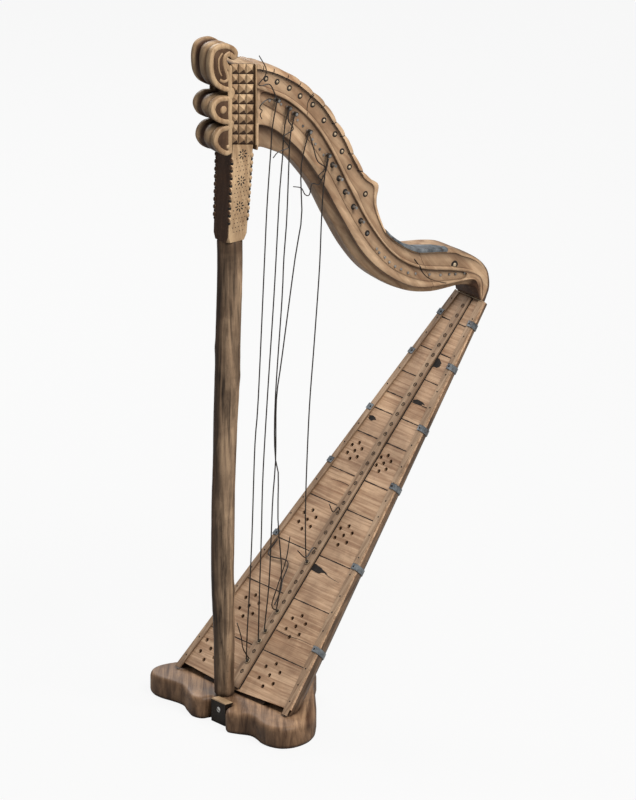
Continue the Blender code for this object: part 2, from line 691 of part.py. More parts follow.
def board_back_x(height):
    """World x of the boards' inner face at a height."""
    return (height - SLAB_THICKNESS) * math.tan(BOARD_LEAN) + (BOARD_THICKNESS + GAP) / math.cos(BOARD_LEAN)


def build_pegs(shop):
    for number, index in enumerate(PEG_HOLES, start=1):
        front = -GAP - BAND_THICKNESS - GAP
        shape = bmesh.new()
        bmesh.ops.create_cone(shape, cap_ends=True, segments=8, radius1=PEG_HEAD_RADIUS,
                              radius2=PEG_HEAD_RADIUS * 0.7,
                              depth=PEG_HEAD_HEIGHT)
        turn = Vector((0, 0, 1)).rotation_difference(Vector((-1, 0, 0))).to_matrix()
        bmesh.ops.rotate(shape, cent=(0, 0, 0), matrix=turn, verts=shape.verts)
        bmesh.ops.translate(shape, vec=(front - PEG_HEAD_HEIGHT / 2, 0, hole_height(index)),
                            verts=shape.verts)
        peg = add_bmesh(shop, f"string_peg_{number}", shape, shop.peg_wood, shop.box_frame)
        shank = bmesh.new()
        reach = BAND_THICKNESS + BOARD_THICKNESS
        add_rod(shank,
                (front - PEG_HEAD_HEIGHT / 2 + (reach + PEG_HEAD_HEIGHT / 2) / 2, 0, hole_height(index)),
                (1, 0, 0), PEG_RADIUS, reach + PEG_HEAD_HEIGHT / 2, 8)
        cut(peg, make_cutter(add_bmesh(shop, peg.name + "_shank", shank, None, shop.box_frame, shop.cutters)),
            "UNION")


def slab_points():
    return [(x, -across) for x, across in SLAB_NEAR] + list(reversed(SLAB_FAR))


def build_base(shop):
    slab = outline_curve(shop, "base_slab", slab_points(), SLAB_THICKNESS / 2, shop.slab_wood, steps=3)
    slab.location = (0.0, 0.0, SLAB_THICKNESS / 2)
    slab = as_mesh(shop, slab)
    bevel(slab, SLAB_EDGE_ROUND, 1, 60.0)
    shape = bmesh.new()
    add_rod(shape, (PILLAR_FOOT_X, 0.0, SLAB_THICKNESS), (0, 0, 1), TENON_RADIUS + GAP,
            2 * (TENON_LENGTH + GAP), 12)
    cut(slab, make_cutter(add_bmesh(shop, "slab_socket_cutter", shape, None, None, shop.cutters)))
    near, far = FOOT_BLOCK_MIDDLE - FOOT_BLOCK_HALF_WIDTH, FOOT_BLOCK_MIDDLE + FOOT_BLOCK_HALF_WIDTH
    low = Vector((FOOT_BLOCK_FRONT, near, 0.0))
    high = Vector((FOOT_BLOCK_REAR, far, SLAB_THICKNESS + FOOT_BLOCK_RISE))
    block = add_box(shop, "foot_block", low, high, shop.block_wood)
    bevel(block, FOOT_BLOCK_ROUND)
    room = Vector((GAP, GAP, SLAB_THICKNESS))
    seat = add_box(shop, "foot_block_seat_cutter", low - room, high + room, None, None, shop.cutters)
    cut(slab, make_cutter(seat))


def pillar_axis(height):
    """The pillar's bow: x of its axis at a height."""
    if height < PILLAR_BOW_HEIGHT:
        share = (height - SLAB_THICKNESS) / (PILLAR_BOW_HEIGHT - SLAB_THICKNESS)
        start, end = PILLAR_FOOT_X, PILLAR_BOW_X
    else:
        share = (height - PILLAR_BOW_HEIGHT) / (PILLAR_TOP - PILLAR_BOW_HEIGHT)
        start, end = PILLAR_BOW_X, PILLAR_TOP_X
    ease = (1 - math.cos(math.pi * share)) / 2
    return start + (end - start) * ease


def pillar_radius(height):
    share = min(max((height - SLAB_THICKNESS) / (PILLAR_BOW_HEIGHT - SLAB_THICKNESS), 0.0), 1.0)
    above = min(max((height - PILLAR_BOW_HEIGHT) / (PILLAR_TOP - PILLAR_BOW_HEIGHT), 0.0), 1.0)
    lower = PILLAR_RADIUS_FOOT + (PILLAR_RADIUS_BOW - PILLAR_RADIUS_FOOT) * share
    return lower + (PILLAR_RADIUS_TOP - PILLAR_RADIUS_BOW) * above


def build_pillar(shop):
    bottom = SLAB_THICKNESS + GAP
    top = PILLAR_TOP - GAP
    count = 22
    heights = [bottom + (top - bottom) * k / count for k in range(count + 1)]
    heights.insert(1, bottom + 0.004)
    heights.insert(-1, top - 0.004)
    points = [(pillar_axis(h), 0.0, h) for h in heights]
    points[0] = (points[1][0], 0.0, bottom)
    points[-1] = (points[-2][0], 0.0, top)
    radii = [pillar_radius(h) for h in heights]
    radii[0] *= 0.88
    pillar = as_mesh(shop, tube(shop, "pillar", points, radii, shop.pillar_wood, 5))
    shape = bmesh.new()
    add_rod(shape, (points[0][0], 0.0, bottom), (0, 0, 1), TENON_RADIUS, 2 * TENON_LENGTH - 2 * GAP, 12)
    add_rod(shape, (points[-1][0], 0.0, top), (0, 0, 1), TENON_RADIUS, 2 * TENON_LENGTH - 2 * GAP, 12)
    cut(pillar, make_cutter(add_bmesh(shop, "pillar_tenons", shape, None, None, shop.cutters)), "UNION")


def slope_at(x):
    """Fall of the head's level lines, from the head block's middle."""
    return -math.tan(JOINT_SLOPE) * (x - CAPITAL_TOP_X)


def build_capital(shop):
    rings = []
    levels = (
        (PILLAR_TOP, CAPITAL_CUT, 0.0),
        (PILLAR_TOP + CAPITAL_CHAMFER, 0.06, CAPITAL_CHAMFER / (CAPITAL_TOP - PILLAR_TOP)),
        (CAPITAL_TOP, 0.06, 1.0),
    )
    for height, corner, share in levels:
        w = (CAPITAL_WIDTH_FOOT + (CAPITAL_WIDTH_TOP - CAPITAL_WIDTH_FOOT) * share) / 2
        cx = PILLAR_TOP_X + (CAPITAL_TOP_X - PILLAR_TOP_X) * share
        c = w * (1 - corner)
        ring = [(w, -c), (w, c), (c, w), (-c, w), (-w, c), (-w, -c), (-c, -w), (c, -w)]
        tilt = share if share == 1.0 else 0.0
        rings.append([(cx + x, y, height + tilt * slope_at(cx + x)) for x, y in ring])
    capital = add_bmesh(shop, "pillar_capital", loft(rings), shop.carved_wood)
    shape = bmesh.new()
    add_rod(shape, (PILLAR_TOP_X, 0.0, PILLAR_TOP), (0, 0, 1), TENON_RADIUS + GAP, 2 * (TENON_LENGTH + GAP),
            12)
    cut(capital, make_cutter(add_bmesh(shop, "capital_socket_cutter", shape, None, None, shop.cutters)))


def build_head(shop):
    shape = bmesh.new()
    bmesh.ops.create_cube(shape, size=1.0)
    size = Vector((HEAD_RIGHT - HEAD_LEFT, 2 * HEAD_HALF_WIDTH - 2 * DIAMOND_RISE, HEAD_HEIGHT))
    bmesh.ops.scale(shape, vec=size, verts=shape.verts)
    for k in range(1, DIAMOND_COLUMNS):
        place = (size.x * (k / DIAMOND_COLUMNS - 0.5), 0.0, 0.0)
        bmesh.ops.bisect_plane(shape, geom=shape.verts[:] + shape.edges[:] + shape.faces[:], plane_co=place,
                               plane_no=(1, 0, 0))
    for k in range(1, DIAMOND_ROWS):
        place = (0.0, 0.0, size.z * (k / DIAMOND_ROWS - 0.5))
        bmesh.ops.bisect_plane(shape, geom=shape.verts[:] + shape.edges[:] + shape.faces[:], plane_co=place,
                               plane_no=(0, 0, 1))
    sides = [face for face in shape.faces if abs(face.normal.y) > 0.9]
    bmesh.ops.poke(shape, faces=sides, offset=DIAMOND_RISE)
    middle = (HEAD_LEFT + HEAD_RIGHT) / 2
    lift = CAPITAL_TOP + GAP * 1.2 + HEAD_HEIGHT / 2
    for vert in shape.verts:
        vert.co.x += middle
        vert.co.z += lift + slope_at(vert.co.x)
    add_bmesh(shop, "head_block", shape, shop.carved_wood)


def build_scroll(shop):
    scroll = outline_curve(shop, "head_scroll", SCROLL_OUTLINE, SCROLL_HALF_WIDTH, shop.carved_wood, steps=3)
    scroll.rotation_euler = (math.pi / 2, 0.0, 0.0)
    scroll = as_mesh(shop, scroll)
    bevel(scroll, SCROLL_ROUND, 1, 60.0)
    low = (HEAD_LEFT - GAP, -0.2, 1.0)
    face = add_box(shop, "scroll_back_cutter", low, (0.1, 0.2, 1.356), None, None, shop.cutters)
    cut(scroll, make_cutter(face))


def neck_half_width(share):
    return NECK_HALF_WIDTH_HEAD + (NECK_HALF_WIDTH_END - NECK_HALF_WIDTH_HEAD) * share


def share_at(line, x):
    """Share of the way along a curve where it first reaches an x."""
    low, high = 0.0, 1.0
    for _ in range(40):
        middle = (low + high) / 2
        if smooth_route(line, middle).x < x:
            low = middle
        else:
            high = middle
    return low


def knot_table():
    """For each of the neck's curves, its own share at every knot."""
    table = []
    for index, line in enumerate((CREST, CHANNEL_TOP, CHANNEL_FOOT, MOULDING_FOOT, UNDERSIDE)):
        knots = [(share, share_at(line, with_box(xs[index], 0.0)[0])) for share, xs in NECK_KNOTS]
        own = [(0.0, 0.0), *knots, (1.0, 1.0)]
        table.append((line, own))
    return table


NECK_CURVES = knot_table()


def neck_point(index, share):
    """A point of one of the neck's curves at a share of the neck's length."""
    line, own = NECK_CURVES[index]
    for (s0, t0), (s1, t1) in zip(own, own[1:]):
        if share <= s1:
            break
    return smooth_route(line, t0 + (t1 - t0) * (share - s0) / (s1 - s0))


def fade(share, start, end):
    """One before the start, nothing after the end, even in between."""
    return min(max((end - share) / (end - start), 0.0), 1.0)


def neck_profile(share):
    """Half of the neck's cross-section at a share of its length, crest to underside, as (point, y)."""
    crest, top, foot, lower, under = (neck_point(index, share) for index in range(5))
    w = neck_half_width(share)
    relief = fade(share, 0.88, 0.93)
    bulge = CROWN_HEIGHT + (SHOULDER_BULGE - CROWN_HEIGHT) * (1 - fade(share, 0.90, 1.0))
    out = (crest - top).normalized()
    cove = COVE_DEPTH * fade(share, 0.90, 0.96) + 0.001
    rows = [
        (crest + out * bulge, 0.0),
        (crest + out * bulge * 0.87, w * 0.5),
        (crest + out * bulge * 0.50, w * 0.87),
        (crest, w - 0.0006),
        (crest.lerp(top, 0.13), w),
        (crest.lerp(top, 0.18), w - RAIL_DEPTH * relief),
        (crest.lerp(top, 0.50), w - RAIL_DEPTH * 1.3 * relief),
        (crest.lerp(top, 0.82), w - RAIL_DEPTH * relief),
        (crest.lerp(top, 0.88), w),
        (top, w),
        (top.lerp(foot, 0.10), w - CHANNEL_DEPTH * relief),
        (top.lerp(foot, 0.90), w - CHANNEL_DEPTH * relief),
        (foot, w - 0.0008),
        (lower, w - 0.0004),
        (lower.lerp(under, 0.22), w - cove * 0.45),
        (lower.lerp(under, 0.60), w - cove * 0.75),
        (under, w - cove - 0.002),
        (under + (under - lower).normalized() * 0.002, 0.0),
    ]
    return rows


def neck_ring(share):
    near = [(p.x, -y, p.y) for p, y in neck_profile(share)]
    far = [(p.x, y, p.y) for p, y in neck_profile(share)[1:-1]]
    return near + list(reversed(far))


def stations(start, end):
    """Shares of the neck's rings from one share to another, closer together round the shoulder."""
    last = NECK_KNOTS[-1][0]
    even = [k / NECK_STATIONS for k in range(NECK_STATIONS) if k / NECK_STATIONS < last]
    close = [last + (1.0 - last) * k / SHOULDER_STATIONS for k in range(SHOULDER_STATIONS + 1)]
    return [share for share in even + close if start <= share <= end]


def cut_off(shape, place, facing):
    """Cuts a bmesh with a plane, drops the side that the plane faces, and caps the cut."""
    everything = shape.verts[:] + shape.edges[:] + shape.faces[:]
    made = bmesh.ops.bisect_plane(
        shape, geom=everything, dist=0.000001, plane_co=place, plane_no=facing, clear_outer=True
    )
    rim = [part for part in made["geom_cut"] if isinstance(part, bmesh.types.BMEdge)]
    bmesh.ops.edgeloop_fill(shape, edges=rim)


def build_neck(shop):
    scarf_top, scarf_foot = follow_box((SCARF_TOP, SCARF_FOOT))
    slope = Vector((scarf_foot[0] - scarf_top[0], 0.0, scarf_foot[1] - scarf_top[1])).normalized()
    facing = Vector((-slope.z, 0.0, slope.x))
    joint = Vector((scarf_top[0], 0.0, scarf_top[1]))
    body = loft([neck_ring(s) for s in stations(0.0, SCARF_LAST)])
    cut_off(body, joint - facing * (GAP / 2), facing)
    neck = add_bmesh(shop, "neck", body, shop.neck_wood)
    shoulder = loft([neck_ring(s) for s in stations(SCARF_FIRST, 1.0)])
    cut_off(shoulder, joint + facing * (GAP / 2), -facing)
    add_bmesh(shop, "neck_end", shoulder, shop.neck_wood)
    edge = HEAD_RIGHT + GAP
    block = add_box(shop, "neck_head_cutter", (-0.2, -0.2, 0.9), (edge, 0.2, 1.6), None, None, shop.cutters)
    cut(neck, make_cutter(block))
    shape = bmesh.new()
    for x, z in follow_box(PIN_PLACES):
        add_rod(shape, (x, 0.0, z), (0, 1, 0), PIN_RADIUS + PIN_CLEARANCE, 0.2, 12)
    cut(neck, make_cutter(add_bmesh(shop, "pin_bore_cutter", shape, None, None, shop.cutters)))


def build_plate(shop):
    """A repair plate bent over the crest's near edge, widest in its middle, on the neck's own stations."""
    rings = []
    for share in stations(PLATE_START, PLATE_END):
        crest, top, w = neck_point(0, share), neck_point(1, share), neck_half_width(share)
        out = (crest - top).normalized()
        along = (share - PLATE_START) / (PLATE_END - PLATE_START)
        widening = math.sqrt(max(math.sin(math.pi * along), 0.0))
        reach = PLATE_END_REACH + (PLATE_REACH - PLATE_END_REACH) * widening
        skins = []
        for clear in (PLATE_CLEARANCE, PLATE_CLEARANCE + PLATE_THICKNESS):
            skin = [(crest.lerp(top, PLATE_DROP), w + clear), (crest, w + clear)]
            for fold in PLATE_FOLDS:
                across = 1 - reach * fold
                rise = CROWN_HEIGHT * math.sqrt(1 - across * across)
                skin.append((crest + out * (rise + clear), w * across))
            skins.append([(p.x, -y, p.y) for p, y in skin])
        rings.append(skins[0] + list(reversed(skins[1])))
    add_bmesh(shop, "repair_plate", loft(rings), shop.strap_metal)


def build_pins(shop):
    for number, (x, z) in enumerate(follow_box(PIN_PLACES), start=1):
        w = NECK_HALF_WIDTH_HEAD + 0.003
        shape = bmesh.new()
        near, far = -(w + PIN_STRING_SIDE), w + PIN_KEY_SIDE - PIN_SQUARE_LENGTH
        add_rod(shape, (0.0, (near + far) / 2, 0.0), (0, 1, 0), PIN_RADIUS, far - near, 12)
        pin = add_bmesh(shop, f"tuning_pin_{number:02d}", shape, shop.pin_metal)
        pin.location = (x, 0.0, z)
        half = PIN_SQUARE / 2
        key = add_box(shop, pin.name + "_key_end", (x - half, far - 0.002, z - half),
                      (x + half, w + PIN_KEY_SIDE, z + half),
                      None, None, shop.cutters)
        cut(pin, make_cutter(key), "UNION")


def build_strings(shop):
    for number, route in enumerate(STRING_ROUTES, start=1):
        peg = shop.box_frame.matrix_world @ Vector((
            -GAP - BAND_THICKNESS - PEG_HEAD_HEIGHT - 3 * GAP - STRING_RADIUS, 0.0,
            hole_height(PEG_HOLES[number - 1])
        ))
        pin_x, pin_z = with_box(*PIN_PLACES[number - 1])
        start = Vector((pin_x - PIN_RADIUS - STRING_RADIUS - GAP, route[0][1], pin_z))
        whole = [start] + [Vector(point) for point in route[1:]] + [peg]
        length = sum((b - a).length for a, b in zip(whole, whole[1:]))
        count = round(length / STRING_SPACING / 2)
        points = [smooth_route(whole, k / count) for k in range(count + 1)]
        tube(shop, f"string_{number}", points, [STRING_RADIUS] * len(points), shop.gut, 2)


def main():
    clear_scene()
    shop = Shop()
    bpy.context.view_layer.update()
    build_base(shop)
    build_pillar(shop)
    build_capital(shop)
    build_head(shop)
    build_scroll(shop)
    build_neck(shop)
    build_plate(shop)
    build_pins(shop)
    build_boards(shop)
    build_band(shop)
    build_battens(shop)
    build_staves(shop)
    build_straps(shop)
    build_inner_frame(shop)
    build_pegs(shop)
    build_strings(shop)


main()
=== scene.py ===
"""Visual model of the floor harp: materials, finer carving, loose ends of strings, camera and light."""

import math
import random

import bmesh
import bpy
from mathutils import Matrix, Vector, noise


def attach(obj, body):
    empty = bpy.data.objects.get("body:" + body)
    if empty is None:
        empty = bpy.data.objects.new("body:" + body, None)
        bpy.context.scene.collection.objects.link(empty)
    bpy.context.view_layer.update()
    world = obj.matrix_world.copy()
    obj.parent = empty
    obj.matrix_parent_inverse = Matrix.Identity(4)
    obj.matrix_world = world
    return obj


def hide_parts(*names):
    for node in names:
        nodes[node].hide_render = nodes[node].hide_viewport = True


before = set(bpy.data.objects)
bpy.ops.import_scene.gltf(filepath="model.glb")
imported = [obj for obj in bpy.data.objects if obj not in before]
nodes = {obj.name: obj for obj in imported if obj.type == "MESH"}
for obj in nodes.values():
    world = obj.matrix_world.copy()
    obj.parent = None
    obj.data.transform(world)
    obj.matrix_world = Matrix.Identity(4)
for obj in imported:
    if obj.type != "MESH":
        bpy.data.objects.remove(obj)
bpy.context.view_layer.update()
chance = random.Random(7)

FIXED = "harp_frame"
SLAB_THICKNESS = 0.044
BOARD_LENGTH = 0.9126
BOARD_LEAN = math.radians(40.7)
HALF_WIDTH_FOOT = 0.177
HALF_WIDTH_TOP = 0.0445
BATTEN_FRONT = -0.0033
STRAP_FRONT = -0.0048
BOX = Matrix.Translation((0.0, 0.0, SLAB_THICKNESS)) @ Matrix.Rotation(BOARD_LEAN, 4, "Y")

SLOTS = (
    ("base_slab", "slab_wood"), ("foot_block", "block_wood"), ("pillar_capital", "carved_wood"),
    ("head_", "carved_wood"), ("pillar", "pillar_wood"), ("neck", "neck_wood"),
    ("repair_plate", "strap_metal"),
    ("strap_", "strap_metal"), ("tuning_pin", "pin_metal"), ("soundboard", "board_wood"),
    ("string_band", "trim_wood"), ("edge_batten", "trim_wood"), ("back_stave", "back_wood"),
    ("back_rib", "inner_wood"), ("centre_brace", "inner_wood"), ("top_block", "inner_wood"),
    ("tail_block", "inner_wood"), ("string_peg", "peg_wood"), ("string_", "gut"),
)


# Materials


class Skin:
    """A material under construction."""

    def __init__(self, name):
        self.material = bpy.data.materials.new(name)
        self.material.use_nodes = True
        self.tree = self.material.node_tree
        self.shader = self.tree.nodes["Principled BSDF"]

    def node(self, kind, **settings):
        made = self.tree.nodes.new(kind)
        for key, value in settings.items():
            setattr(made, key, value)
        return made

    def link(self, source, target):
        self.tree.links.new(source, target)

    def place(self, scale, turn=(0.0, 0.0, 0.0)):
        """Coordinates on the piece, turned and then stretched."""
        where = self.node("ShaderNodeTexCoord")
        turned = self.node("ShaderNodeMapping")
        turned.inputs["Rotation"].default_value = turn
        sized = self.node("ShaderNodeMapping")
        sized.inputs["Scale"].default_value = scale
        self.link(where.outputs["Object"], turned.inputs["Vector"])
        self.link(turned.outputs["Vector"], sized.inputs["Vector"])
        return sized.outputs["Vector"]

    def noise(self, vector, scale, detail=5.0, rough=0.6, distortion=0.0):
        made = self.node("ShaderNodeTexNoise")
        made.inputs["Scale"].default_value = scale
        made.inputs["Detail"].default_value = detail
        made.inputs["Roughness"].default_value = rough
        made.inputs["Distortion"].default_value = distortion
        self.link(vector, made.inputs["Vector"])
        return made.outputs["Fac"]

    def ramp(self, factor, stops):
        made = self.node("ShaderNodeValToRGB")
        band = made.color_ramp
        while len(band.elements) < len(stops):
            band.elements.new(0.5)
        for element, (place, colour) in zip(band.elements, stops):
            element.position = place
            element.color = (*colour, 1.0)
        self.link(factor, made.inputs["Fac"])
        return made.outputs["Color"]

    def mix(self, factor, first, second, blend="MIX"):
        made = self.node("ShaderNodeMix", data_type="RGBA", blend_type=blend)
        for value, socket in ((factor, made.inputs[0]), (first, made.inputs[6]), (second, made.inputs[7])):
            if isinstance(value, (int, float)):
                socket.default_value = value
            elif isinstance(value, tuple):
                socket.default_value = (*value, 1.0)
            else:
                self.link(value, socket)
        return made.outputs[2]

    def spread(self, factor, low, high):
        """A factor moved from 0..1 to another span."""
        made = self.node("ShaderNodeMapRange")
        made.inputs["To Min"].default_value = low
        made.inputs["To Max"].default_value = high
        self.link(factor, made.inputs["Value"])
        return made.outputs["Result"]

    def bump(self, height, strength, distance, below=None):
        made = self.node("ShaderNodeBump")
        made.inputs["Strength"].default_value = strength
        made.inputs["Distance"].default_value = distance
        self.link(height, made.inputs["Height"])
        if below:
            self.link(below, made.inputs["Normal"])
        self.link(made.outputs["Normal"], self.shader.inputs["Normal"])
        return made.outputs["Normal"]


def wood(name, dark, light, grain, turn=(0.0, 0.0, 0.0), rough=(0.42, 0.68), blotch=0.5, pieces=0.0,
         relief=0.35,
         deep=None):
    """Old finished wood: grain along one axis, blotches, painted shade in the corners, and worn spots.

    Where a mesh has tones, they darken it towards the deep tint: painted shade on most pieces, and the black of
    the foot block's sides.
    """
    skin = Skin(name)
    middle = tuple((a + b) / 2 for a, b in zip(dark, light))
    where = skin.place(grain, turn)
    if pieces:
        info = skin.node("ShaderNodeObjectInfo")
        shifted = skin.node("ShaderNodeVectorMath", operation="ADD")
        many = skin.node("ShaderNodeMath", operation="MULTIPLY")
        many.inputs[1].default_value = 37.0
        skin.link(info.outputs["Random"], many.inputs[0])
        skin.link(where, shifted.inputs[0])
        skin.link(many.outputs[0], shifted.inputs[1])
        where = shifted.outputs[0]
    lines = skin.noise(where, 1.0, 7.0, 0.62, 0.7)
    base = skin.ramp(lines, ((0.30, dark), (0.47, middle), (0.62, light), (0.75, middle)))
    even = skin.place((1.0, 1.0, 1.0))
    patches = skin.noise(even, 14.0, 4.0, 0.6, 0.4)
    shade = skin.ramp(patches,
                      ((0.35, (0.36, 0.31, 0.27)), (0.55, (0.85, 0.83, 0.80)), (0.70, (1.12, 1.10, 1.05))))
    colour = skin.mix(blotch, base, shade, "MULTIPLY")
    if pieces:
        tone = skin.ramp(info.outputs["Random"], (
            (0.0, (0.62, 0.55, 0.50)), (0.35, (1.0, 0.97, 0.93)), (0.65, (0.78, 0.70, 0.62)),
            (1.0, (1.15, 1.12, 1.05)),
        ))
        colour = skin.mix(pieces, colour, tone, "MULTIPLY")
    if deep:
        # Tones: mostly painted shade, darkening towards the deep tint.
        shade_tone = skin.node("ShaderNodeAttribute", attribute_name="tone")
        colour = skin.mix(shade_tone.outputs["Fac"], colour, deep, "MULTIPLY")
    # Painted shade: ambient occlusion darkens the colour in corners, in crevices and between parts.
    corner = skin.node("ShaderNodeAmbientOcclusion", samples=6)
    corner.inputs["Distance"].default_value = 0.014
    corner_shade = skin.ramp(corner.outputs["AO"], ((0.35, (0.22, 0.18, 0.15)), (0.85, (1.0, 1.0, 1.0))))
    colour = skin.mix(0.85, colour, corner_shade, "MULTIPLY")
    specks = skin.noise(even, 210.0, 3.0, 0.7)
    colour = skin.mix(skin.spread(skin.ramp(specks, ((0.60, (0, 0, 0)), (0.72, (1, 1, 1)))), 0.0, 0.45),
                      colour, dark)
    skin.link(colour, skin.shader.inputs["Base Color"])
    skin.shader.inputs["Specular IOR Level"].default_value = 0.3
    skin.link(skin.spread(patches, *rough), skin.shader.inputs["Roughness"])
    skin.bump(specks, 0.15, 0.0006, skin.bump(lines, relief, 0.0009))
    return skin.material


def metal(name, dark, light, rough, rust):
    skin = Skin(name)
    even = skin.place((1.0, 1.0, 1.0))
    clouds = skin.noise(even, 46.0, 6.0, 0.65, 0.3)
    scratches = skin.noise(skin.place((420.0, 60.0, 60.0)), 1.0, 3.0)
    colour = skin.mix(0.35, skin.ramp(clouds, ((0.34, dark), (0.62, light))), skin.ramp(
        scratches, ((0.40, (0.5, 0.5, 0.5)), (0.60, (1.1, 1.1, 1.1)))), "MULTIPLY")
    stains = skin.ramp(skin.noise(even, 75.0, 5.0, 0.7), ((0.56, (0, 0, 0)), (0.68, (1, 1, 1))))
    colour = skin.mix(skin.spread(stains, 0.0, 0.7), colour, rust)
    skin.link(colour, skin.shader.inputs["Base Color"])
    skin.shader.inputs["Metallic"].default_value = 0.75
    skin.link(skin.spread(clouds, *rough), skin.shader.inputs["Roughness"])
    skin.bump(clouds, 0.3, 0.0005)
    return skin.material


def plain(name, dark, light, scale, rough):
    skin = Skin(name)
    grain = skin.noise(skin.place((1.0, 1.0, 1.0)), scale, 4.0)
    skin.link(skin.ramp(grain, ((0.35, dark), (0.65, light))), skin.shader.inputs["Base Color"])
    skin.shader.inputs["Roughness"].default_value = rough
    skin.bump(grain, 0.2, 0.0004)
    return skin.material


UP_THE_BOX = (0.0, -BOARD_LEAN, 0.0)
ALONG_THE_NECK = (0.0, math.radians(40.0), 0.0)
ACROSS_THE_SLAB = (0.0, 0.0, math.radians(-52.0))
SKINS = {
    "slab_wood": wood("slab_wood", (0.080, 0.036, 0.017), (0.46, 0.285, 0.165), (5, 75, 16), ACROSS_THE_SLAB,
                      blotch=0.6, deep=(0.28, 0.22, 0.18)),
    "block_wood": wood("block_wood", (0.16, 0.09, 0.045), (0.52, 0.36, 0.21), (50, 8, 50),
                       deep=(0.05, 0.045, 0.045)),
    "pillar_wood": wood("pillar_wood", (0.030, 0.017, 0.010), (0.44, 0.30, 0.19), (95, 95, 7), blotch=0.7,
                        rough=(0.5, 0.8), relief=0.8, deep=(0.22, 0.17, 0.14)),
    "carved_wood": wood("carved_wood", (0.25, 0.14, 0.07), (0.58, 0.405, 0.24), (55, 55, 9), blotch=0.5,
                        deep=(0.12, 0.07, 0.05)),
    "neck_wood": wood("neck_wood", (0.36, 0.205, 0.115), (0.66, 0.46, 0.29), (60, 60, 5), ALONG_THE_NECK,
                      rough=(0.36, 0.58), blotch=0.55, deep=(0.11, 0.07, 0.05)),
    "board_wood": wood("board_wood", (0.32, 0.175, 0.10), (0.70, 0.485, 0.32), (150, 6, 150), UP_THE_BOX,
                       blotch=0.5, pieces=0.5),
    "trim_wood": wood("trim_wood", (0.20, 0.115, 0.065), (0.52, 0.36, 0.235), (80, 80, 6), UP_THE_BOX,
                      blotch=0.4),
    "back_wood": wood("back_wood", (0.045, 0.025, 0.014), (0.24, 0.145, 0.085), (70, 70, 4), UP_THE_BOX,
                      rough=(0.38, 0.6)),
    "inner_wood": wood("inner_wood", (0.025, 0.015, 0.009), (0.085, 0.050, 0.030), (60, 60, 6), UP_THE_BOX),
    "strap_metal": metal("strap_metal", (0.10, 0.11, 0.12), (0.34, 0.37, 0.39), (0.38, 0.62),
                         (0.10, 0.045, 0.02)),
    "pin_metal": metal("pin_metal", (0.16, 0.155, 0.15), (0.55, 0.53, 0.50), (0.3, 0.5), (0.09, 0.04, 0.02)),
    "peg_wood": plain("peg_wood", (0.012, 0.008, 0.005), (0.05, 0.032, 0.02), 90.0, 0.45),
    "gut": plain("gut", (0.006, 0.004, 0.003), (0.030, 0.020, 0.014), 160.0, 0.5),
}
# Near black for dark marks; it is also painted shade in hollows: between the capital's teeth, between the head's
# pyramids, in the screw's slot and in the soundboard's broken places.
DARK = plain("dark_gap", (0.006, 0.004, 0.003), (0.02, 0.013, 0.009), 120.0, 0.9)
STUD = plain("stud_bone", (0.24, 0.17, 0.10), (0.54, 0.42, 0.28), 120.0, 0.45)
# Pale grey for the screw head: metal colour with a painted highlight.
SCREW = plain("screw_metal", (0.42, 0.41, 0.38), (0.80, 0.79, 0.75), 200.0, 0.4)


def dress_nodes():
    for name, piece in nodes.items():
        slot = next(slot for start, slot in SLOTS if name.startswith(start))
        piece.data.materials.clear()
        piece.data.materials.append(SKINS[slot])


# Shapes


def add_piece(name, shape, slot, body=FIXED, replaced=(), surface=None, smooth=38.0):
    bmesh.ops.recalc_face_normals(shape, faces=shape.faces)
    mesh = bpy.data.meshes.new(name)
    shape.to_mesh(mesh)
    shape.free()
    mesh.materials.append(surface or SKINS[slot])
    mesh.shade_smooth()
    mesh.set_sharp_from_angle(angle=math.radians(smooth))
    piece = bpy.data.objects.new(name, mesh)
    bpy.context.scene.collection.objects.link(piece)
    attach(piece, body)
    if replaced:
        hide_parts(*replaced)
    return piece


def add_rings(shape, rings, tones=None):
    """Closes a skin over rings of points in a bmesh, with flat ends, and with a tone for each ring or point."""
    layer = tones and (shape.verts.layers.float.get("tone") or shape.verts.layers.float.new("tone"))
    rows = [[shape.verts.new(point) for point in ring] for ring in rings]
    for row, tone in zip(rows, tones or ()):
        for i, vert in enumerate(row):
            vert[layer] = tone[i] if isinstance(tone, list) else tone
    count = len(rings[0])
    for lower, upper in zip(rows, rows[1:]):
        for i in range(count):
            j = (i + 1) % count
            shape.faces.new((lower[i], lower[j], upper[j], upper[i]))
    shape.faces.new(list(reversed(rows[0])))
    shape.faces.new(rows[-1])


def add_sweep(shape, points, radius, sides=8, taper=1.0, flat=1.0):
    """A closed tube along points: thinner towards its end where it tapers, flattened across y where it is flat."""
    points = [Vector(point) for point in points]
    side = None
    rings = []
    for i, point in enumerate(points):
        ahead = (points[min(i + 1, len(points) - 1)] - points[max(i - 1, 0)]).normalized()
        if side is None:
            side = ahead.orthogonal().normalized()
        side = (side - ahead * side.dot(ahead)).normalized()
        other = ahead.cross(side)
        size = radius * (1.0 + (taper - 1.0) * i / (len(points) - 1))
        turns = [2 * math.pi * k / sides for k in range(sides)]
        spokes = [(side * math.cos(a) + other * math.sin(a)) * size for a in turns]
        rings.append([point + Vector((spoke.x, spoke.y * flat, spoke.z)) for spoke in spokes])
    add_rings(shape, rings)


def add_ball(shape, centre, size, turn=None, steps=(10, 6)):
    """A ball, or an egg where its size differs along the three axes."""
    matrix = Matrix.LocRotScale(Vector(centre), turn, Vector(size))
    bmesh.ops.create_uvsphere(shape, u_segments=steps[0], v_segments=steps[1], radius=1.0, matrix=matrix)


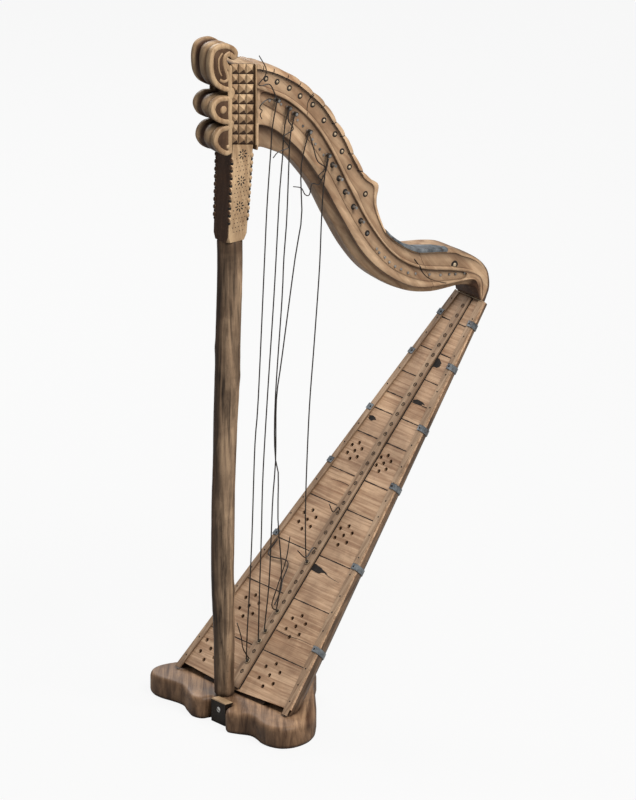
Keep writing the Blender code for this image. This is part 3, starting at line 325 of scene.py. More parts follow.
def smooth_route(points, share):
    """A point on the smooth curve through all the points, at a share of its way along."""
    spans = [(Vector(b) - Vector(a)).length for a, b in zip(points, points[1:])]
    left = min(max(share, 0.0), 1.0) * sum(spans)
    index = 0
    while index < len(spans) - 1 and left > spans[index]:
        left -= spans[index]
        index += 1
    t = min(left / spans[index], 1.0)
    p1, p2 = Vector(points[index]), Vector(points[index + 1])
    p0 = Vector(points[index - 1]) if index else p1 * 2 - p2
    p3 = Vector(points[index + 2]) if index + 2 < len(points) else p2 * 2 - p1
    return 0.5 * (
        p1 * 2 + (p2 - p0) * t + (p0 * 2 - p1 * 5 + p2 * 4 - p3) * t * t + (p1 * 3 - p0 - p2 * 3 + p3) * t ** 3
    )


def run(points, count):
    return [smooth_route(points, k / count) for k in range(count + 1)]


def on_box(into, across, up):
    return BOX @ Vector((into, across, up))


def half_width(up):
    return HALF_WIDTH_FOOT + (HALF_WIDTH_TOP - HALF_WIDTH_FOOT) * up / BOARD_LENGTH


def outward(outline):
    """The outward direction at each point of a closed flat outline."""
    count = len(outline)
    area = sum(outline[i][0] * outline[(i + 1) % count][1] - outline[(i + 1) % count][0] * outline[i][1]
               for i in range(count))
    sign = 1.0 if area > 0 else -1.0
    found = []
    for i in range(count):
        along = (Vector(outline[(i + 2) % count]) - Vector(outline[i - 2])).normalized()
        found.append(Vector((sign * along.y, -sign * along.x)))
    return found


def inset(outline, amount):
    """A closed flat outline moved inwards, as (a, b) points."""
    return [(a - out.x * amount, b - out.y * amount) for (a, b), out in zip(outline, outward(outline))]


# Foot slab

SLAB_NEAR = (
    (-0.040, 0.028), (-0.040, 0.053), (-0.057, 0.060), (-0.070, 0.078), (-0.061, 0.100), (-0.048, 0.122),
    (-0.050, 0.144), (-0.056, 0.167), (-0.055, 0.193), (-0.043, 0.217), (-0.018, 0.228), (0.015, 0.224),
    (0.045, 0.208), (0.070, 0.182), (0.092, 0.155), (0.112, 0.128), (0.134, 0.098), (0.157, 0.066),
    (0.182, 0.036), (0.205, 0.010), (0.205, 0.000),
)
SLAB_FAR = (
    (-0.040, -0.028), (-0.040, 0.002), (-0.062, 0.010), (-0.070, 0.033), (-0.061, 0.061), (-0.048, 0.092),
    (-0.050, 0.122), (-0.056, 0.150), (-0.055, 0.177), (-0.043, 0.200), (-0.018, 0.212), (0.015, 0.209),
    (0.045, 0.196), (0.070, 0.175), (0.092, 0.151), (0.112, 0.126), (0.134, 0.097), (0.157, 0.066),
    (0.182, 0.036), (0.205, 0.010), (0.205, 0.000),
)
SLAB_EDGE = (                      # height, how far in, and tone: painted shade, darkest at the foot of the slab's side
    (0.0, 0.0030, 0.8), (0.003, 0.0008, 0.7), (0.007, 0.0, 0.6), (0.033, 0.0, 0.5), (0.038, 0.0012, 0.35),
    (0.0415, 0.0035, 0.15), (0.0432, 0.0065, 0.05), (0.044, 0.0105, 0.0),
)


def build_slab():
    far = [tuple(point) for point in run(SLAB_FAR, 110)]
    outline = [(x, -across) for x, across in run(SLAB_NEAR, 110)] + list(reversed(far[1:-1]))
    rings = [[(x, y, z) for x, y in inset(outline, amount)] for z, amount, _ in SLAB_EDGE]
    shape = bmesh.new()
    add_rings(shape, rings, [tone for _, _, tone in SLAB_EDGE])
    add_piece("slab_body", shape, "slab_wood", replaced=("base_slab",), smooth=50.0)


BLOCK_LOW, BLOCK_HIGH = Vector((-0.0520, -0.0500)), Vector((-0.0330, -0.0060))
BLOCK_LEVELS = ((0.0, 0.0, 1.0), (0.0443, 0.0, 1.0), (0.0456, 0.0, 0.1), (0.0470, 0.0014, 0.0))


def build_foot_block():
    """The foot block, black at its sides, and the slotted screw in its front."""
    block, head, slot = (bmesh.new() for _ in range(3))
    rings = []
    for z, amount, _ in BLOCK_LEVELS:
        low, high = BLOCK_LOW + Vector((amount, amount)), BLOCK_HIGH - Vector((amount, amount))
        rings.append([(low.x, low.y, z), (high.x, low.y, z), (high.x, high.y, z), (low.x, high.y, z)])
    add_rings(block, rings, [tone for _, _, tone in BLOCK_LEVELS])
    add_piece("foot_block_body", block, "block_wood", replaced=("foot_block",))
    # The screw's pale grey is its metal with a painted highlight; its slot is a near-black bar of painted shade.
    centre = Vector((BLOCK_LOW.x - 0.0001, -0.0290, 0.0290))
    add_ball(head, centre, (0.0012, 0.0056, 0.0056), steps=(16, 8))
    add_piece("foot_screw", head, "strap_metal", surface=SCREW)
    bmesh.ops.create_cube(slot, size=1.0, matrix=Matrix.LocRotScale(
        centre + Vector((-0.0010, 0.0, 0.0)), Matrix.Rotation(0.5, 3, "X"), Vector((0.0006, 0.0098, 0.0013))))
    add_piece("foot_screw_slot", slot, "strap_metal", surface=DARK)


# Pillar and capital


def pillar_axis(height):
    if height < 0.320:
        share, start, end = (height - SLAB_THICKNESS) / 0.276, -0.0145, -0.0190
    else:
        share, start, end = (height - 0.320) / 0.665, -0.0190, 0.0
    return start + (end - start) * (1 - math.cos(math.pi * share)) / 2


def pillar_radius(height):
    share = min(max((height - SLAB_THICKNESS) / 0.276, 0.0), 1.0)
    above = min(max((height - 0.320) / 0.665, 0.0), 1.0)
    return 0.0195 + 0.0030 * share + 0.0025 * above


PILLAR_KNOTS = ((0.140, 4.0, 0.0020), (0.262, 5.6, 0.0026), (0.415, 4.6, 0.0016), (0.560, 3.4, 0.0022),
                (0.705, 5.2, 0.0020), (0.845, 4.2, 0.0016), (0.500, 1.0, 0.0022), (0.760, 2.0, 0.0020))
# The side of the branch that gets painted shade.
SHADED_SIDE = Vector((-0.788, 0.616, 0.0))


def pillar_tone(spot, height):
    """Painted shade darkens the branch along its side away from the light, and painted shadow darkens it just
    under the capital.
    """
    aside = 1.6 * (spot.dot(SHADED_SIDE) - 0.25)
    under = 0.8 * min(max((height - 0.925) / 0.040, 0.0), 1.0)
    return min(max(aside, under), 1.0)


def build_pillar():
    """A peeled branch: uneven girth, long shallow flutes and a few grown-over knots."""
    low, high, rows, sides = SLAB_THICKNESS + 0.0003, 0.9847, 190, 44
    rings, tones = [], []
    for k in range(rows + 1):
        height = low + (high - low) * k / rows
        centre = Vector((pillar_axis(height) + 0.0014 * noise.noise((0.3, 0.1, height * 9)),
                         0.0016 * noise.noise((5.0, 2.0, height * 8)), height))
        end = min(height - low, high - height)
        round_off = 0.0022 * max(0.0, 1.0 - end / 0.006) ** 2
        ring, tone = [], []
        for i in range(sides):
            angle = 2 * math.pi * i / sides
            spot = Vector((math.cos(angle), math.sin(angle), 0.0))
            swell = 0.0013 * noise.noise(spot * 0.8 + Vector((0, 0, height * 7)))
            flute = 0.0011 * noise.noise(spot * 4.2 + Vector((9, 3, height * 5)))
            fine = 0.0004 * noise.noise(spot * 11.0 + Vector((1, 7, height * 40)))
            knot = 0.0
            for at, facing, rise in PILLAR_KNOTS:
                turn = (angle - facing + math.pi) % (2 * math.pi) - math.pi
                knot += rise * math.exp(-((height - at) / 0.013) ** 2 - (turn / 0.42) ** 2)
            reach = pillar_radius(height) + swell + flute + fine + knot - round_off
            ring.append(centre + spot * reach)
            tone.append(pillar_tone(spot, height))
        for point in ring:
            point.z = height
        rings.append(ring)
        tones.append(tone)
    shape = bmesh.new()
    add_rings(shape, rings, tones)
    add_piece("pillar_branch", shape, "pillar_wood", replaced=("pillar",), smooth=60.0)


HEAD_LEFT, HEAD_RIGHT = -0.0160, 0.0430
HEAD_FOOT, HEAD_HEIGHT = 1.18186, 0.165
HEAD_MIDDLE = 0.0125
HEAD_FALL = math.tan(math.radians(12.0))
HEAD_CORE = 0.0230                 # half of the width under the pyramids
HEAD_BORDER = 0.0405               # x where a plain border begins beside them
PYRAMID_COLUMNS, PYRAMID_ROWS = 3, 8
PYRAMID_RINGS = (                  # y, and half of the size as a share of the cell
    (0.0231, 0.465), (0.0243, 0.465), (0.0290, 0.110), (0.0299, 0.045),
)


def capital_axis(height):
    return 0.0125 * (height - 0.985) / 0.1965


def capital_half(height):
    return (0.0465 + 0.0055 * (height - 0.985) / 0.1965) / 2


CAPITAL_LEVELS = ((0.9850, 0.30, 0.0), (0.9970, 0.06, 0.061), (1.1815, 0.06, 1.0))
FLOWER_HEIGHTS = (1.162, 1.108, 1.056)


def build_capital():
    """The square capital, whose face towards the player is darkened with painted shade."""
    rings = []
    for height, corner, share in CAPITAL_LEVELS:
        w, middle = (0.0465 + 0.0055 * share) / 2, 0.0125 * share
        c = w * (1 - corner)
        ring = [(w, -c), (w, c), (c, w), (-c, w), (-w, c), (-w, -c), (-c, -w), (c, -w)]
        fall = HEAD_FALL if share == 1.0 else 0.0
        rings.append([(middle + x, y, height - fall * (middle + x - HEAD_MIDDLE)) for x, y in ring])
    shape = bmesh.new()
    # Painted shade on the face towards the player.
    add_rings(shape, rings, [[0.0, 0.0, 0.0, 0.0, 0.97, 0.97, 0.0, 0.0]] * 3)
    add_piece("capital_body", shape, "carved_wood", replaced=("pillar_capital",))


def build_capital_carving():
    teeth, gaps = bmesh.new(), bmesh.new()
    count = 9
    for k in range(count):
        height = 1.033 + 0.122 * k / (count - 1)
        centre, w = capital_axis(height), capital_half(height) - 0.0018
        for sx in (-1, 1):
            for sy in (-1, 1):
                add_ball(teeth, (centre + sx * w, sy * w, height), (0.0046, 0.0046, 0.0058), steps=(12, 8))
                add_ball(gaps, (centre + sx * w, sy * w, height - 0.0076), (0.0034, 0.0034, 0.0032),
                         steps=(10, 6))
    # Teeth on the face towards the player get the same painted shade.
    layer = teeth.verts.layers.float.new("tone")
    for vert in teeth.verts:
        edge = capital_axis(vert.co.z) - capital_half(vert.co.z)
        vert[layer] = 0.97 if vert.co.x < edge - 0.0002 else 0.0
    add_piece("capital_teeth", teeth, "carved_wood")
    # Near-black balls between the teeth: painted shade in the hollows between them.
    add_piece("capital_teeth_gaps", gaps, "carved_wood", surface=DARK)
    marks = bmesh.new()
    for sy in (-1, 1):
        for height in FLOWER_HEIGHTS:
            centre = Vector((capital_axis(height) + 0.001, sy * capital_half(height), height))
            for k in range(8):
                angle = math.pi * k / 4
                out = Vector((math.cos(angle), 0.0, math.sin(angle)))
                add_ball(marks, centre + out * 0.0076, (0.0036, 0.0005, 0.0015),
                         Matrix.Rotation(-angle, 3, "Y"),
                         steps=(8, 6))
            add_ball(marks, centre, (0.0016, 0.0005, 0.0016), steps=(8, 6))
        for row in range(19):
            height = 1.006 + 0.0088 * row
            for column in range(4 + row % 2):
                x = 0.0072 * (column - (3 + row % 2) / 2)
                if min(math.hypot(x, height - flower) for flower in FLOWER_HEIGHTS) > 0.0135:
                    spot = (capital_axis(height) + 0.001 + x, sy * capital_half(height), height)
                    add_ball(marks, spot, (0.0012, 0.0005, 0.0012), steps=(6, 4))
    add_piece("capital_flowers", marks, "carved_wood", surface=DARK)


# Head block


def head_corners(left, right, low, high):
    """Corners of a patch of the head's side, where level lines fall towards the neck."""
    corners = ((left, low), (right, low), (right, high), (left, high))
    return [(x, z - HEAD_FALL * (x - HEAD_MIDDLE)) for x, z in corners]


def pyramid_shade(normal):
    """Painted shade on the pyramids: darkest on their lower faces, less on their right faces, a little on their
    left faces, none on top.
    """
    if normal.z < -0.25:
        return 0.95
    if normal.z > 0.25:
        return 0.0
    return 0.45 if normal.x > 0.25 else 0.1


def build_head():
    core, ground, pyramids = (bmesh.new() for _ in range(3))
    corners = head_corners(HEAD_LEFT, HEAD_RIGHT, HEAD_FOOT, HEAD_FOOT + HEAD_HEIGHT)
    add_rings(core, [[(x, y, z) for x, z in corners] for y in (-HEAD_CORE, HEAD_CORE)])
    border = head_corners(HEAD_BORDER + 0.0006, HEAD_RIGHT + 0.0008, HEAD_FOOT, HEAD_FOOT + HEAD_HEIGHT)
    wide, tall = (HEAD_BORDER - HEAD_LEFT) / PYRAMID_COLUMNS, HEAD_HEIGHT / PYRAMID_ROWS
    for side in (-1, 1):
        add_rings(ground, [[(x, side * y, z) for x, z in corners] for y in (HEAD_CORE, HEAD_CORE + 0.0005)])
        add_rings(core, [[(x, side * y, z) for x, z in border] for y in (HEAD_CORE - 0.001, 0.0296)])
        for column in range(PYRAMID_COLUMNS):
            for row in range(PYRAMID_ROWS):
                x, z = HEAD_LEFT + wide * (column + 0.5), HEAD_FOOT + tall * (row + 0.5)
                rings = []
                for y, share in PYRAMID_RINGS:
                    a, b = wide * share, tall * share
                    rings.append([(p, side * y, q) for p, q in head_corners(x - a, x + a, z - b, z + b)])
                add_rings(pyramids, rings)
    bmesh.ops.recalc_face_normals(pyramids, faces=pyramids.faces)
    layer = pyramids.faces.layers.float.new("tone")
    for face in pyramids.faces:
        face[layer] = pyramid_shade(face.normal)
    add_piece("head_core", core, "carved_wood", replaced=("head_block",))
    # The ground between the pyramids is near black: painted shade in the hollows of the carving.
    add_piece("head_ground", ground, "carved_wood", surface=DARK)
    add_piece("head_pyramids", pyramids, "carved_wood", smooth=20.0)


# Head scroll

SCROLL_OUTLINE = (
    (-0.0163, 1.348), (-0.024, 1.353), (-0.030, 1.365), (-0.024, 1.370), (-0.015, 1.361), (-0.005, 1.364),
    (-0.002, 1.374), (-0.008, 1.385), (-0.022, 1.395), (-0.037, 1.399), (-0.055, 1.398), (-0.067, 1.389),
    (-0.072, 1.368), (-0.069, 1.338), (-0.057, 1.317), (-0.038, 1.303), (-0.0205, 1.296), (-0.024, 1.290),
    (-0.045, 1.292), (-0.062, 1.284), (-0.068, 1.268), (-0.058, 1.248), (-0.040, 1.236), (-0.0210, 1.230),
    (-0.043, 1.229), (-0.058, 1.217), (-0.061, 1.199), (-0.049, 1.180), (-0.030, 1.169), (-0.0163, 1.172),
)
SCROLL_HALF_WIDTH = 0.0295
SCROLL_CHANNELS = (                # place across its front, and depth below the outline
    (-1.0, 0.0020), (-0.965, 0.0006), (-0.92, 0.0), (-0.66, 0.0), (-0.58, 0.0022), (-0.50, 0.0026),
    (-0.40, 0.0010), (-0.20, 0.0002), (0.05, 0.0008), (0.20, 0.0028), (0.32, 0.0050), (0.48, 0.0058),
    (0.60, 0.0045), (0.70, 0.0012), (0.76, 0.0), (0.92, 0.0), (0.965, 0.0006), (1.0, 0.0020),
)
SCROLL_TONES = {1.0: 0.9, 0.965: 0.2}   # painted shade of its two side faces and of their edge
SCROLL_RIM = 0.0052                # half of the rim's width on the side faces
SCROLL_RIDGES = (                  # inside the top lobe: half of the width, and the route
    (0.0042, ((-0.0215, 1.378), (-0.033, 1.374), (-0.036, 1.361), (-0.033, 1.347), (-0.028, 1.334),
              (-0.028, 1.324), (-0.037, 1.322), (-0.047, 1.328))),
    (0.0024, ((-0.040, 1.381), (-0.048, 1.371), (-0.049, 1.3575), (-0.047, 1.345), (-0.042, 1.335))),
)
SCROLL_BOSS = (-0.0380, 1.2646)    # in the middle lobe
SCROLL_HOOK = (-0.0267, 1.1863)    # where the lowest rim curls in


def build_scroll():
    outline = [tuple(point) for point in run(SCROLL_OUTLINE, 230)]
    outline = [(min(x, -0.0163) if z < 1.355 else x, z) for x, z in outline]
    downs = [max(-out.y, 0.0) for out in outward(outline)]
    rings, tones = [], []
    for share, amount in SCROLL_CHANNELS:
        rings.append([(min(x, -0.0163) if z < 1.355 else x, share * SCROLL_HALF_WIDTH, z)
                      for x, z in inset(outline, amount)])
        # Painted shade: darker in the deeper channels of the front, and on the faces that look down.
        tone = SCROLL_TONES.get(abs(share), min(205.0 * amount, 1.0))
        under = 1.6 if abs(share) < 0.72 else 0.5
        tones.append([max(tone, min(under * down, 1.0)) for down in downs])
    shape = bmesh.new()
    add_rings(shape, rings, tones)
    add_piece("scroll_body", shape, "carved_wood", replaced=("head_scroll",), smooth=50.0)
    ridges = bmesh.new()
    for side in (-1, 1):
        y = side * (SCROLL_HALF_WIDTH - 0.0006)
        rim = inset(outline, SCROLL_RIM)
        add_sweep(ridges, [(x, y, z) for x, z in rim + rim[:2]], SCROLL_RIM, 12, 1.0, 0.45)
        for half, route in SCROLL_RIDGES:
            add_sweep(ridges, [(p.x, y, p.y) for p in run(route, 60)], half, 12, 0.7, 0.6)
        for (x, z), half in ((SCROLL_BOSS, 0.0082), (SCROLL_HOOK, 0.0047)):
            add_ball(ridges, (x, y, z), (half, 0.0026, half), steps=(16, 8))
    add_piece("scroll_ridges", ridges, "carved_wood")


# Neck


def shoulder_point(into):
    up = BOARD_LENGTH + 0.0003
    return (up * math.sin(BOARD_LEAN) + into * math.cos(BOARD_LEAN),
            SLAB_THICKNESS + up * math.cos(BOARD_LEAN) - into * math.sin(BOARD_LEAN))


CREST = (
    (0.0445, 1.338), (0.086, 1.321), (0.121, 1.301), (0.151, 1.280), (0.181, 1.252), (0.210, 1.222),
    (0.237, 1.181), (0.258, 1.149), (0.279, 1.107), (0.302, 1.066), (0.318, 1.047), (0.339, 1.030),
    (0.336, 1.003), (0.337, 0.985), (0.347, 0.955), (0.360, 0.929), (0.386, 0.905), (0.415, 0.885),
    (0.440, 0.873), (0.495, 0.864), (0.532, 0.855), (0.549, 0.845), (0.573, 0.833), (0.593, 0.817),
    (0.607, 0.795), (0.610, 0.774), (0.607, 0.755), shoulder_point(0.0),
)
CHANNEL_TOP = (
    (0.0445, 1.291), (0.072, 1.277), (0.121, 1.249), (0.178, 1.196), (0.224, 1.128), (0.272, 1.036),
    (0.321, 0.951), (0.377, 0.880), (0.442, 0.837), (0.525, 0.814), (0.567, 0.801), (0.593, 0.783),
    (0.597, 0.755), shoulder_point(-0.0025),
)
CHANNEL_FOOT = (
    (0.0445, 1.262), (0.076, 1.243), (0.127, 1.205), (0.171, 1.156), (0.219, 1.080), (0.268, 0.990),
    (0.321, 0.907), (0.377, 0.848), (0.452, 0.808), (0.534, 0.793), (0.567, 0.790), (0.587, 0.777),
    (0.590, 0.755), shoulder_point(-0.0050),
)
MOULDING_FOOT = (
    (0.0445, 1.221), (0.079, 1.206), (0.123, 1.170), (0.157, 1.133), (0.206, 1.062), (0.253, 0.980),
    (0.302, 0.901), (0.358, 0.845), (0.424, 0.804), (0.487, 0.791), (0.549, 0.788), (0.577, 0.784),
    (0.586, 0.770), (0.587, 0.755), shoulder_point(-0.0075),
)
UNDERSIDE = (
    (0.0445, 1.164), (0.071, 1.160), (0.100, 1.147), (0.134, 1.127), (0.162, 1.097), (0.197, 1.050),
    (0.237, 0.977), (0.280, 0.906), (0.333, 0.845), (0.408, 0.796), (0.479, 0.775), (0.555, 0.773),
    (0.578, 0.768), (0.585, 0.755), shoulder_point(-0.0100),
)
NECK_KNOTS = (
    (0.400, (0.302, 0.248, 0.221, 0.224, 0.237)),
    (0.710, (0.425, 0.430, 0.440, 0.450, 0.462)),
    (0.900, (0.590, 0.567, 0.563, 0.560, 0.556)),
)
SEAM_PLACES = (0.060, 0.086, 0.121, 0.151, 0.181, 0.210, 0.237, 0.258, 0.279, 0.302)
RAIL_DEPTH = 0.0025
CHANNEL_DEPTH = 0.0040
COVE_DEPTH = 0.0170
CROWN_HEIGHT = 0.0020
SHOULDER_BULGE = 0.0225
SCALLOP_RISE = 0.0036
CHANNEL_ROWS = (                   # place between its edges, share of its depth, and tone: painted shade, darkest near its upper edge
    (-0.49, 0.0, 0.6), (-0.45, 0.6, 0.9), (-0.38, 1.0, 0.65), (0.0, 1.08, 0.30), (0.38, 1.0, 0.35),
    (0.45, 0.6, 0.7),
    (0.49, 0.0, 0.5),
)
# place down the cove, and its painted shade, darkest under the moulding
COVE_ROWS = ((0.09, 0.95), (0.15, 0.95), (0.22, 0.85), (0.32, 0.70), (0.45, 0.50), (0.60, 0.35), (0.80, 0.20))
# place across the rail, share of its depth, and painted shade, darkest at its edges
RAIL_ROWS = ((0.18, 0.8, 0.75), (0.22, 1.15, 0.45), (0.50, 1.3, 0.25), (0.78, 1.15, 0.45), (0.82, 0.8, 0.8))


def share_at(line, x):
    low, high = 0.0, 1.0
    for _ in range(40):
        middle = (low + high) / 2
        if smooth_route(line, middle).x < x:
            low = middle
        else:
            high = middle
    return low


def knot_table():
    table = []
    for index, line in enumerate((CREST, CHANNEL_TOP, CHANNEL_FOOT, MOULDING_FOOT, UNDERSIDE)):
        own = [(0.0, 0.0)] + [(share, share_at(line, xs[index])) for share, xs in NECK_KNOTS] + [(1.0, 1.0)]
        table.append((line, own))
    return table


NECK_CURVES = knot_table()
CREST_TO_NECK = NECK_KNOTS[0][0] / NECK_CURVES[0][1][1][1]
SEAMS = [share_at(CREST, x) * CREST_TO_NECK for x in SEAM_PLACES]


def neck_point(index, share):
    line, own = NECK_CURVES[index]
    for (s0, t0), (s1, t1) in zip(own, own[1:]):
        if share <= s1:
            break
    return smooth_route(line, t0 + (t1 - t0) * (share - s0) / (s1 - s0))


def fade(share, start, end):
    return min(max((end - share) / (end - start), 0.0), 1.0)


def neck_half_width(share):
    return 0.0300 + 0.0075 * share


def scallop(share):
    """How far the crest stands out: a row of rounded scales that ends past the last seam."""
    edges = [0.0, *SEAMS]
    for start, end in zip(edges, edges[1:]):
        if share <= end:
            middle = 2 * (share - start) / (end - start) - 1
            return SCALLOP_RISE * math.sqrt(max(1 - middle * middle, 0.0))
    past = share - edges[-1]
    return SCALLOP_RISE * min(past / 0.01, 1.0) * fade(past, 0.02, 0.09)


def opening(share):
    """How far the pin channel is open: it starts and ends with a rounded stop."""
    near = min((share - 0.012) / 0.030, (0.888 - share) / 0.030, 1.0)
    return max(math.sqrt(1 - (1 - near) ** 2) if near > 0 else 0.0, 0.02)


def neck_profile(share):
    """Half of the neck's cross-section, crest to underside, as (point, y, tone); the tones are painted shade in
    its hollows, along its edges, underneath and on its shoulder.
    """
    crest, top, foot, lower, under = (neck_point(index, share) for index in range(5))
    w = neck_half_width(share)
    relief = fade(share, 0.88, 0.93)
    bulge = CROWN_HEIGHT + (SHOULDER_BULGE - CROWN_HEIGHT) * (1 - fade(share, 0.90, 1.0))
    out = (crest - top).normalized()
    rise = scallop(share)
    edge = crest + out * rise
    proud = 0.35 * rise
    begin = 1 - fade(share, 0.006, 0.012)
    cove = COVE_DEPTH * begin * fade(share, 0.90, 0.96) + 0.001
    open_by = opening(share)
    depth = CHANNEL_DEPTH * relief * min(2 * open_by, 1.0)
    # Painted shade in the pin channel, stronger towards the head.
    shade_tone = relief * min(4 * open_by, 1.0) * (1 + 0.5 * fade(share, 0.02, 0.20))
    shade = 0.75 + 0.3 * fade(share, 0.0, 0.5)
    # Painted shade on the shoulder's inner face and under its end.
    hollow = 1 - fade(share, 0.905, 0.93)
    lip = 0.9 * (1 - fade(share, 0.935, 0.96))
    # Painted shade on the crown, much darker on the shoulder.
    back = 0.25 + 0.65 * (1 - fade(share, 0.80, 0.88))
    rows = [(edge + out * bulge * math.sqrt(1 - f * f), w * f, back)
            for f in (0.0, 0.25, 0.5, 0.7, 0.87, 0.955)]
    rows += [(edge, w - 0.0006 + proud, back - 0.1), (crest.lerp(top, 0.04), w + proud, (back - 0.25) * 0.6)]
    rows += [(crest.lerp(top, 0.15), w + proud, 0.0)]
    rows += [(crest.lerp(top, t), w - RAIL_DEPTH * d * relief, tone * relief) for t, d, tone in RAIL_ROWS]
    # A line of painted shade where the rail steps down into the channel.
    rows += [(crest.lerp(top, 0.86), w, 0.0), (crest.lerp(top, 0.97), w, 0.2), (top, w - 0.0004, 0.85)]
    rows += [(top.lerp(foot, 0.5 + t * open_by), w - depth * d, min(tone * shade_tone, 1.0))
             for t, d, tone in CHANNEL_ROWS]
    # Lines of painted shade at the moulding's edges.
    rows += [(foot, w - 0.0008, max(0.35, lip)), (foot.lerp(lower, 0.5), w, lip),
             (lower, w - 0.0004, max(0.35, lip))]
    rows += [(lower.lerp(under, 0.05), w - 0.0004, max(0.75 * begin, lip))]
    rows += [(lower.lerp(under, t), w - cove * t ** 0.55, max(tone * shade * begin, hollow))
             for t, tone in COVE_ROWS]
    # Painted shade on the underside.
    rows += [(under, w - cove - 0.002, max(0.4, hollow))]
    rows += [(under + (under - lower).normalized() * 0.002, 0.0, max(0.5, hollow))]
    return rows


def add_neck(shape, shares):
    rings, tones = [], []
    for share in shares:
        rows = neck_profile(share)
        back = list(reversed(rows[1:-1]))
        rings.append([(p.x, -y, p.y) for p, y, _ in rows] + [(p.x, y, p.y) for p, y, _ in back])
        tones.append([tone for _, _, tone in rows + back])
    add_rings(shape, rings, tones)


def neck_shares(start, end, count):
    """Even stations, closer together at each seam of the crest."""
    stations = [start + (end - start) * k / count for k in range(count + 1)]
    for seam in SEAMS:
        if start < seam < end:
            stations = [share for share in stations if abs(share - seam) > 0.0016]
            stations += [seam - 0.0009, seam, seam + 0.0009]
    return sorted(stations)


def cut_off(shape, place, facing):
    """Cuts a bmesh with a plane, drops the side that the plane faces, and caps the cut."""
    everything = shape.verts[:] + shape.edges[:] + shape.faces[:]
    made = bmesh.ops.bisect_plane(
        shape, geom=everything, dist=0.000001, plane_co=place, plane_no=facing, clear_outer=True
    )
    rim = [part for part in made["geom_cut"] if isinstance(part, bmesh.types.BMEdge)]
    bmesh.ops.edgeloop_fill(shape, edges=rim)


def build_neck():
    slope = Vector((0.054, 0.0, -0.117)).normalized()
    facing = Vector((-slope.z, 0.0, slope.x))
    joint = Vector((0.433, 0.0, 0.885))
    body = bmesh.new()
    add_neck(body, neck_shares(0.0, 0.85, 170))
    cut_off(body, joint - facing * 0.0003, facing)
    add_piece("neck_body", body, "neck_wood", replaced=("neck",), smooth=32.0)
    shoulder = bmesh.new()
    add_neck(shoulder, neck_shares(0.60, 1.0, 100))
    cut_off(shoulder, joint + facing * 0.0003, -facing)
    add_piece("neck_shoulder", shoulder, "neck_wood", replaced=("neck_end",), smooth=32.0)


NECK_SPOTS = [row for k in range(241) for row in neck_profile(k / 240)]


def face_y(x, z):
    """How far the neck's side stands from its middle at a place."""
    here = Vector((x, z))
    return min(((point - here).length, y) for point, y, _ in NECK_SPOTS if y > 0.008)[1]


STUD_CENTRE = 0.62                 # share of a stud that its light centre covers
STUDS = ((0.068, 1.305), (0.095, 1.293), (0.125, 1.274), (0.151, 1.252), (0.182, 1.228), (0.209, 1.190),
         (0.236, 1.156), (0.253, 1.117), (0.271, 1.081), (0.310, 1.017), (0.529, 0.824))
PIN_STUBS = (
    (0.077, 1.258), (0.105, 1.245), (0.145, 1.204), (0.158, 1.189), (0.181, 1.157), (0.188, 1.146),
    (0.199, 1.133), (0.208, 1.119), (0.315, 0.935), (0.338, 0.898), (0.344, 0.889), (0.358, 0.876),
    (0.369, 0.864), (0.383, 0.852), (0.398, 0.843), (0.415, 0.832), (0.434, 0.826), (0.468, 0.817),
    (0.495, 0.810), (0.517, 0.807), (0.532, 0.804), (0.554, 0.801),
)
NECK_CRACKS = (
    ((0.182, 1.249), (0.176, 1.243), (0.170, 1.235), (0.168, 1.224), (0.166, 1.211)),
    ((0.430, 0.857), (0.438, 0.846), (0.446, 0.833), (0.455, 0.820), (0.466, 0.810), (0.484, 0.800),
     (0.506, 0.792)),
)
PIN_COLLARS = ((0.230, 1.094), (0.246, 1.063), (0.261, 1.032), (0.281, 0.997), (0.299, 0.964), (0.315, 0.935))


def build_neck_details():
    studs, collars, stubs, cracks = (bmesh.new() for _ in range(4))
    for side in (-1, 1):
        for x, z in STUDS:
            size = 0.0066 if x > 0.5 else 0.0050
            y = face_y(x, z)
            add_ball(collars, (x, side * y, z), (size * 1.3, 0.0008, size * 1.3), steps=(16, 6))
            add_ball(studs, (x, side * (y + 0.0004), z), (STUD_CENTRE * size, 0.0022, STUD_CENTRE * size),
                     steps=(14, 8))
        for seam in SEAMS:
            rows = neck_profile(seam)[:11]
            line = [(p.x, side * (y + 0.0002), p.y) for p, y, _ in rows]
            add_sweep(cracks, line, 0.0009, 6)
        for x, z in PIN_STUBS:
            y = face_y(x, z)
            add_sweep(stubs,
                      [(x, side * (y - 0.004), z), (x, side * (y + 0.0012), z), (x, side * (y + 0.0018), z)],
                      0.0030, 12, 0.75)
        for x, z in PIN_COLLARS:
            add_ball(collars, (x, side * face_y(x, z), z), (0.0064, 0.0014, 0.0064), steps=(16, 6))
        edge = []
        for k in range(61):
            point, y, _ = neck_profile(0.004 + (SEAMS[-1] + 0.012) * k / 60)[8]
            edge.append((point.x, side * (y + 0.0002), point.y))
        add_sweep(cracks, edge, 0.0008, 6)
    for crack in NECK_CRACKS:
        points = [(p.x, -face_y(p.x, p.y), p.y) for p in run(crack, 26)]
        add_sweep(cracks, points, 0.0011, 6, 0.5)
    add_piece("rail_studs", studs, "neck_wood", surface=STUD)
    add_piece("stud_collars", collars, "neck_wood", surface=DARK)
    add_piece("pin_stubs", stubs, "pin_metal")
    add_piece("neck_cracks", cracks, "neck_wood", surface=DARK)


# Soundbox

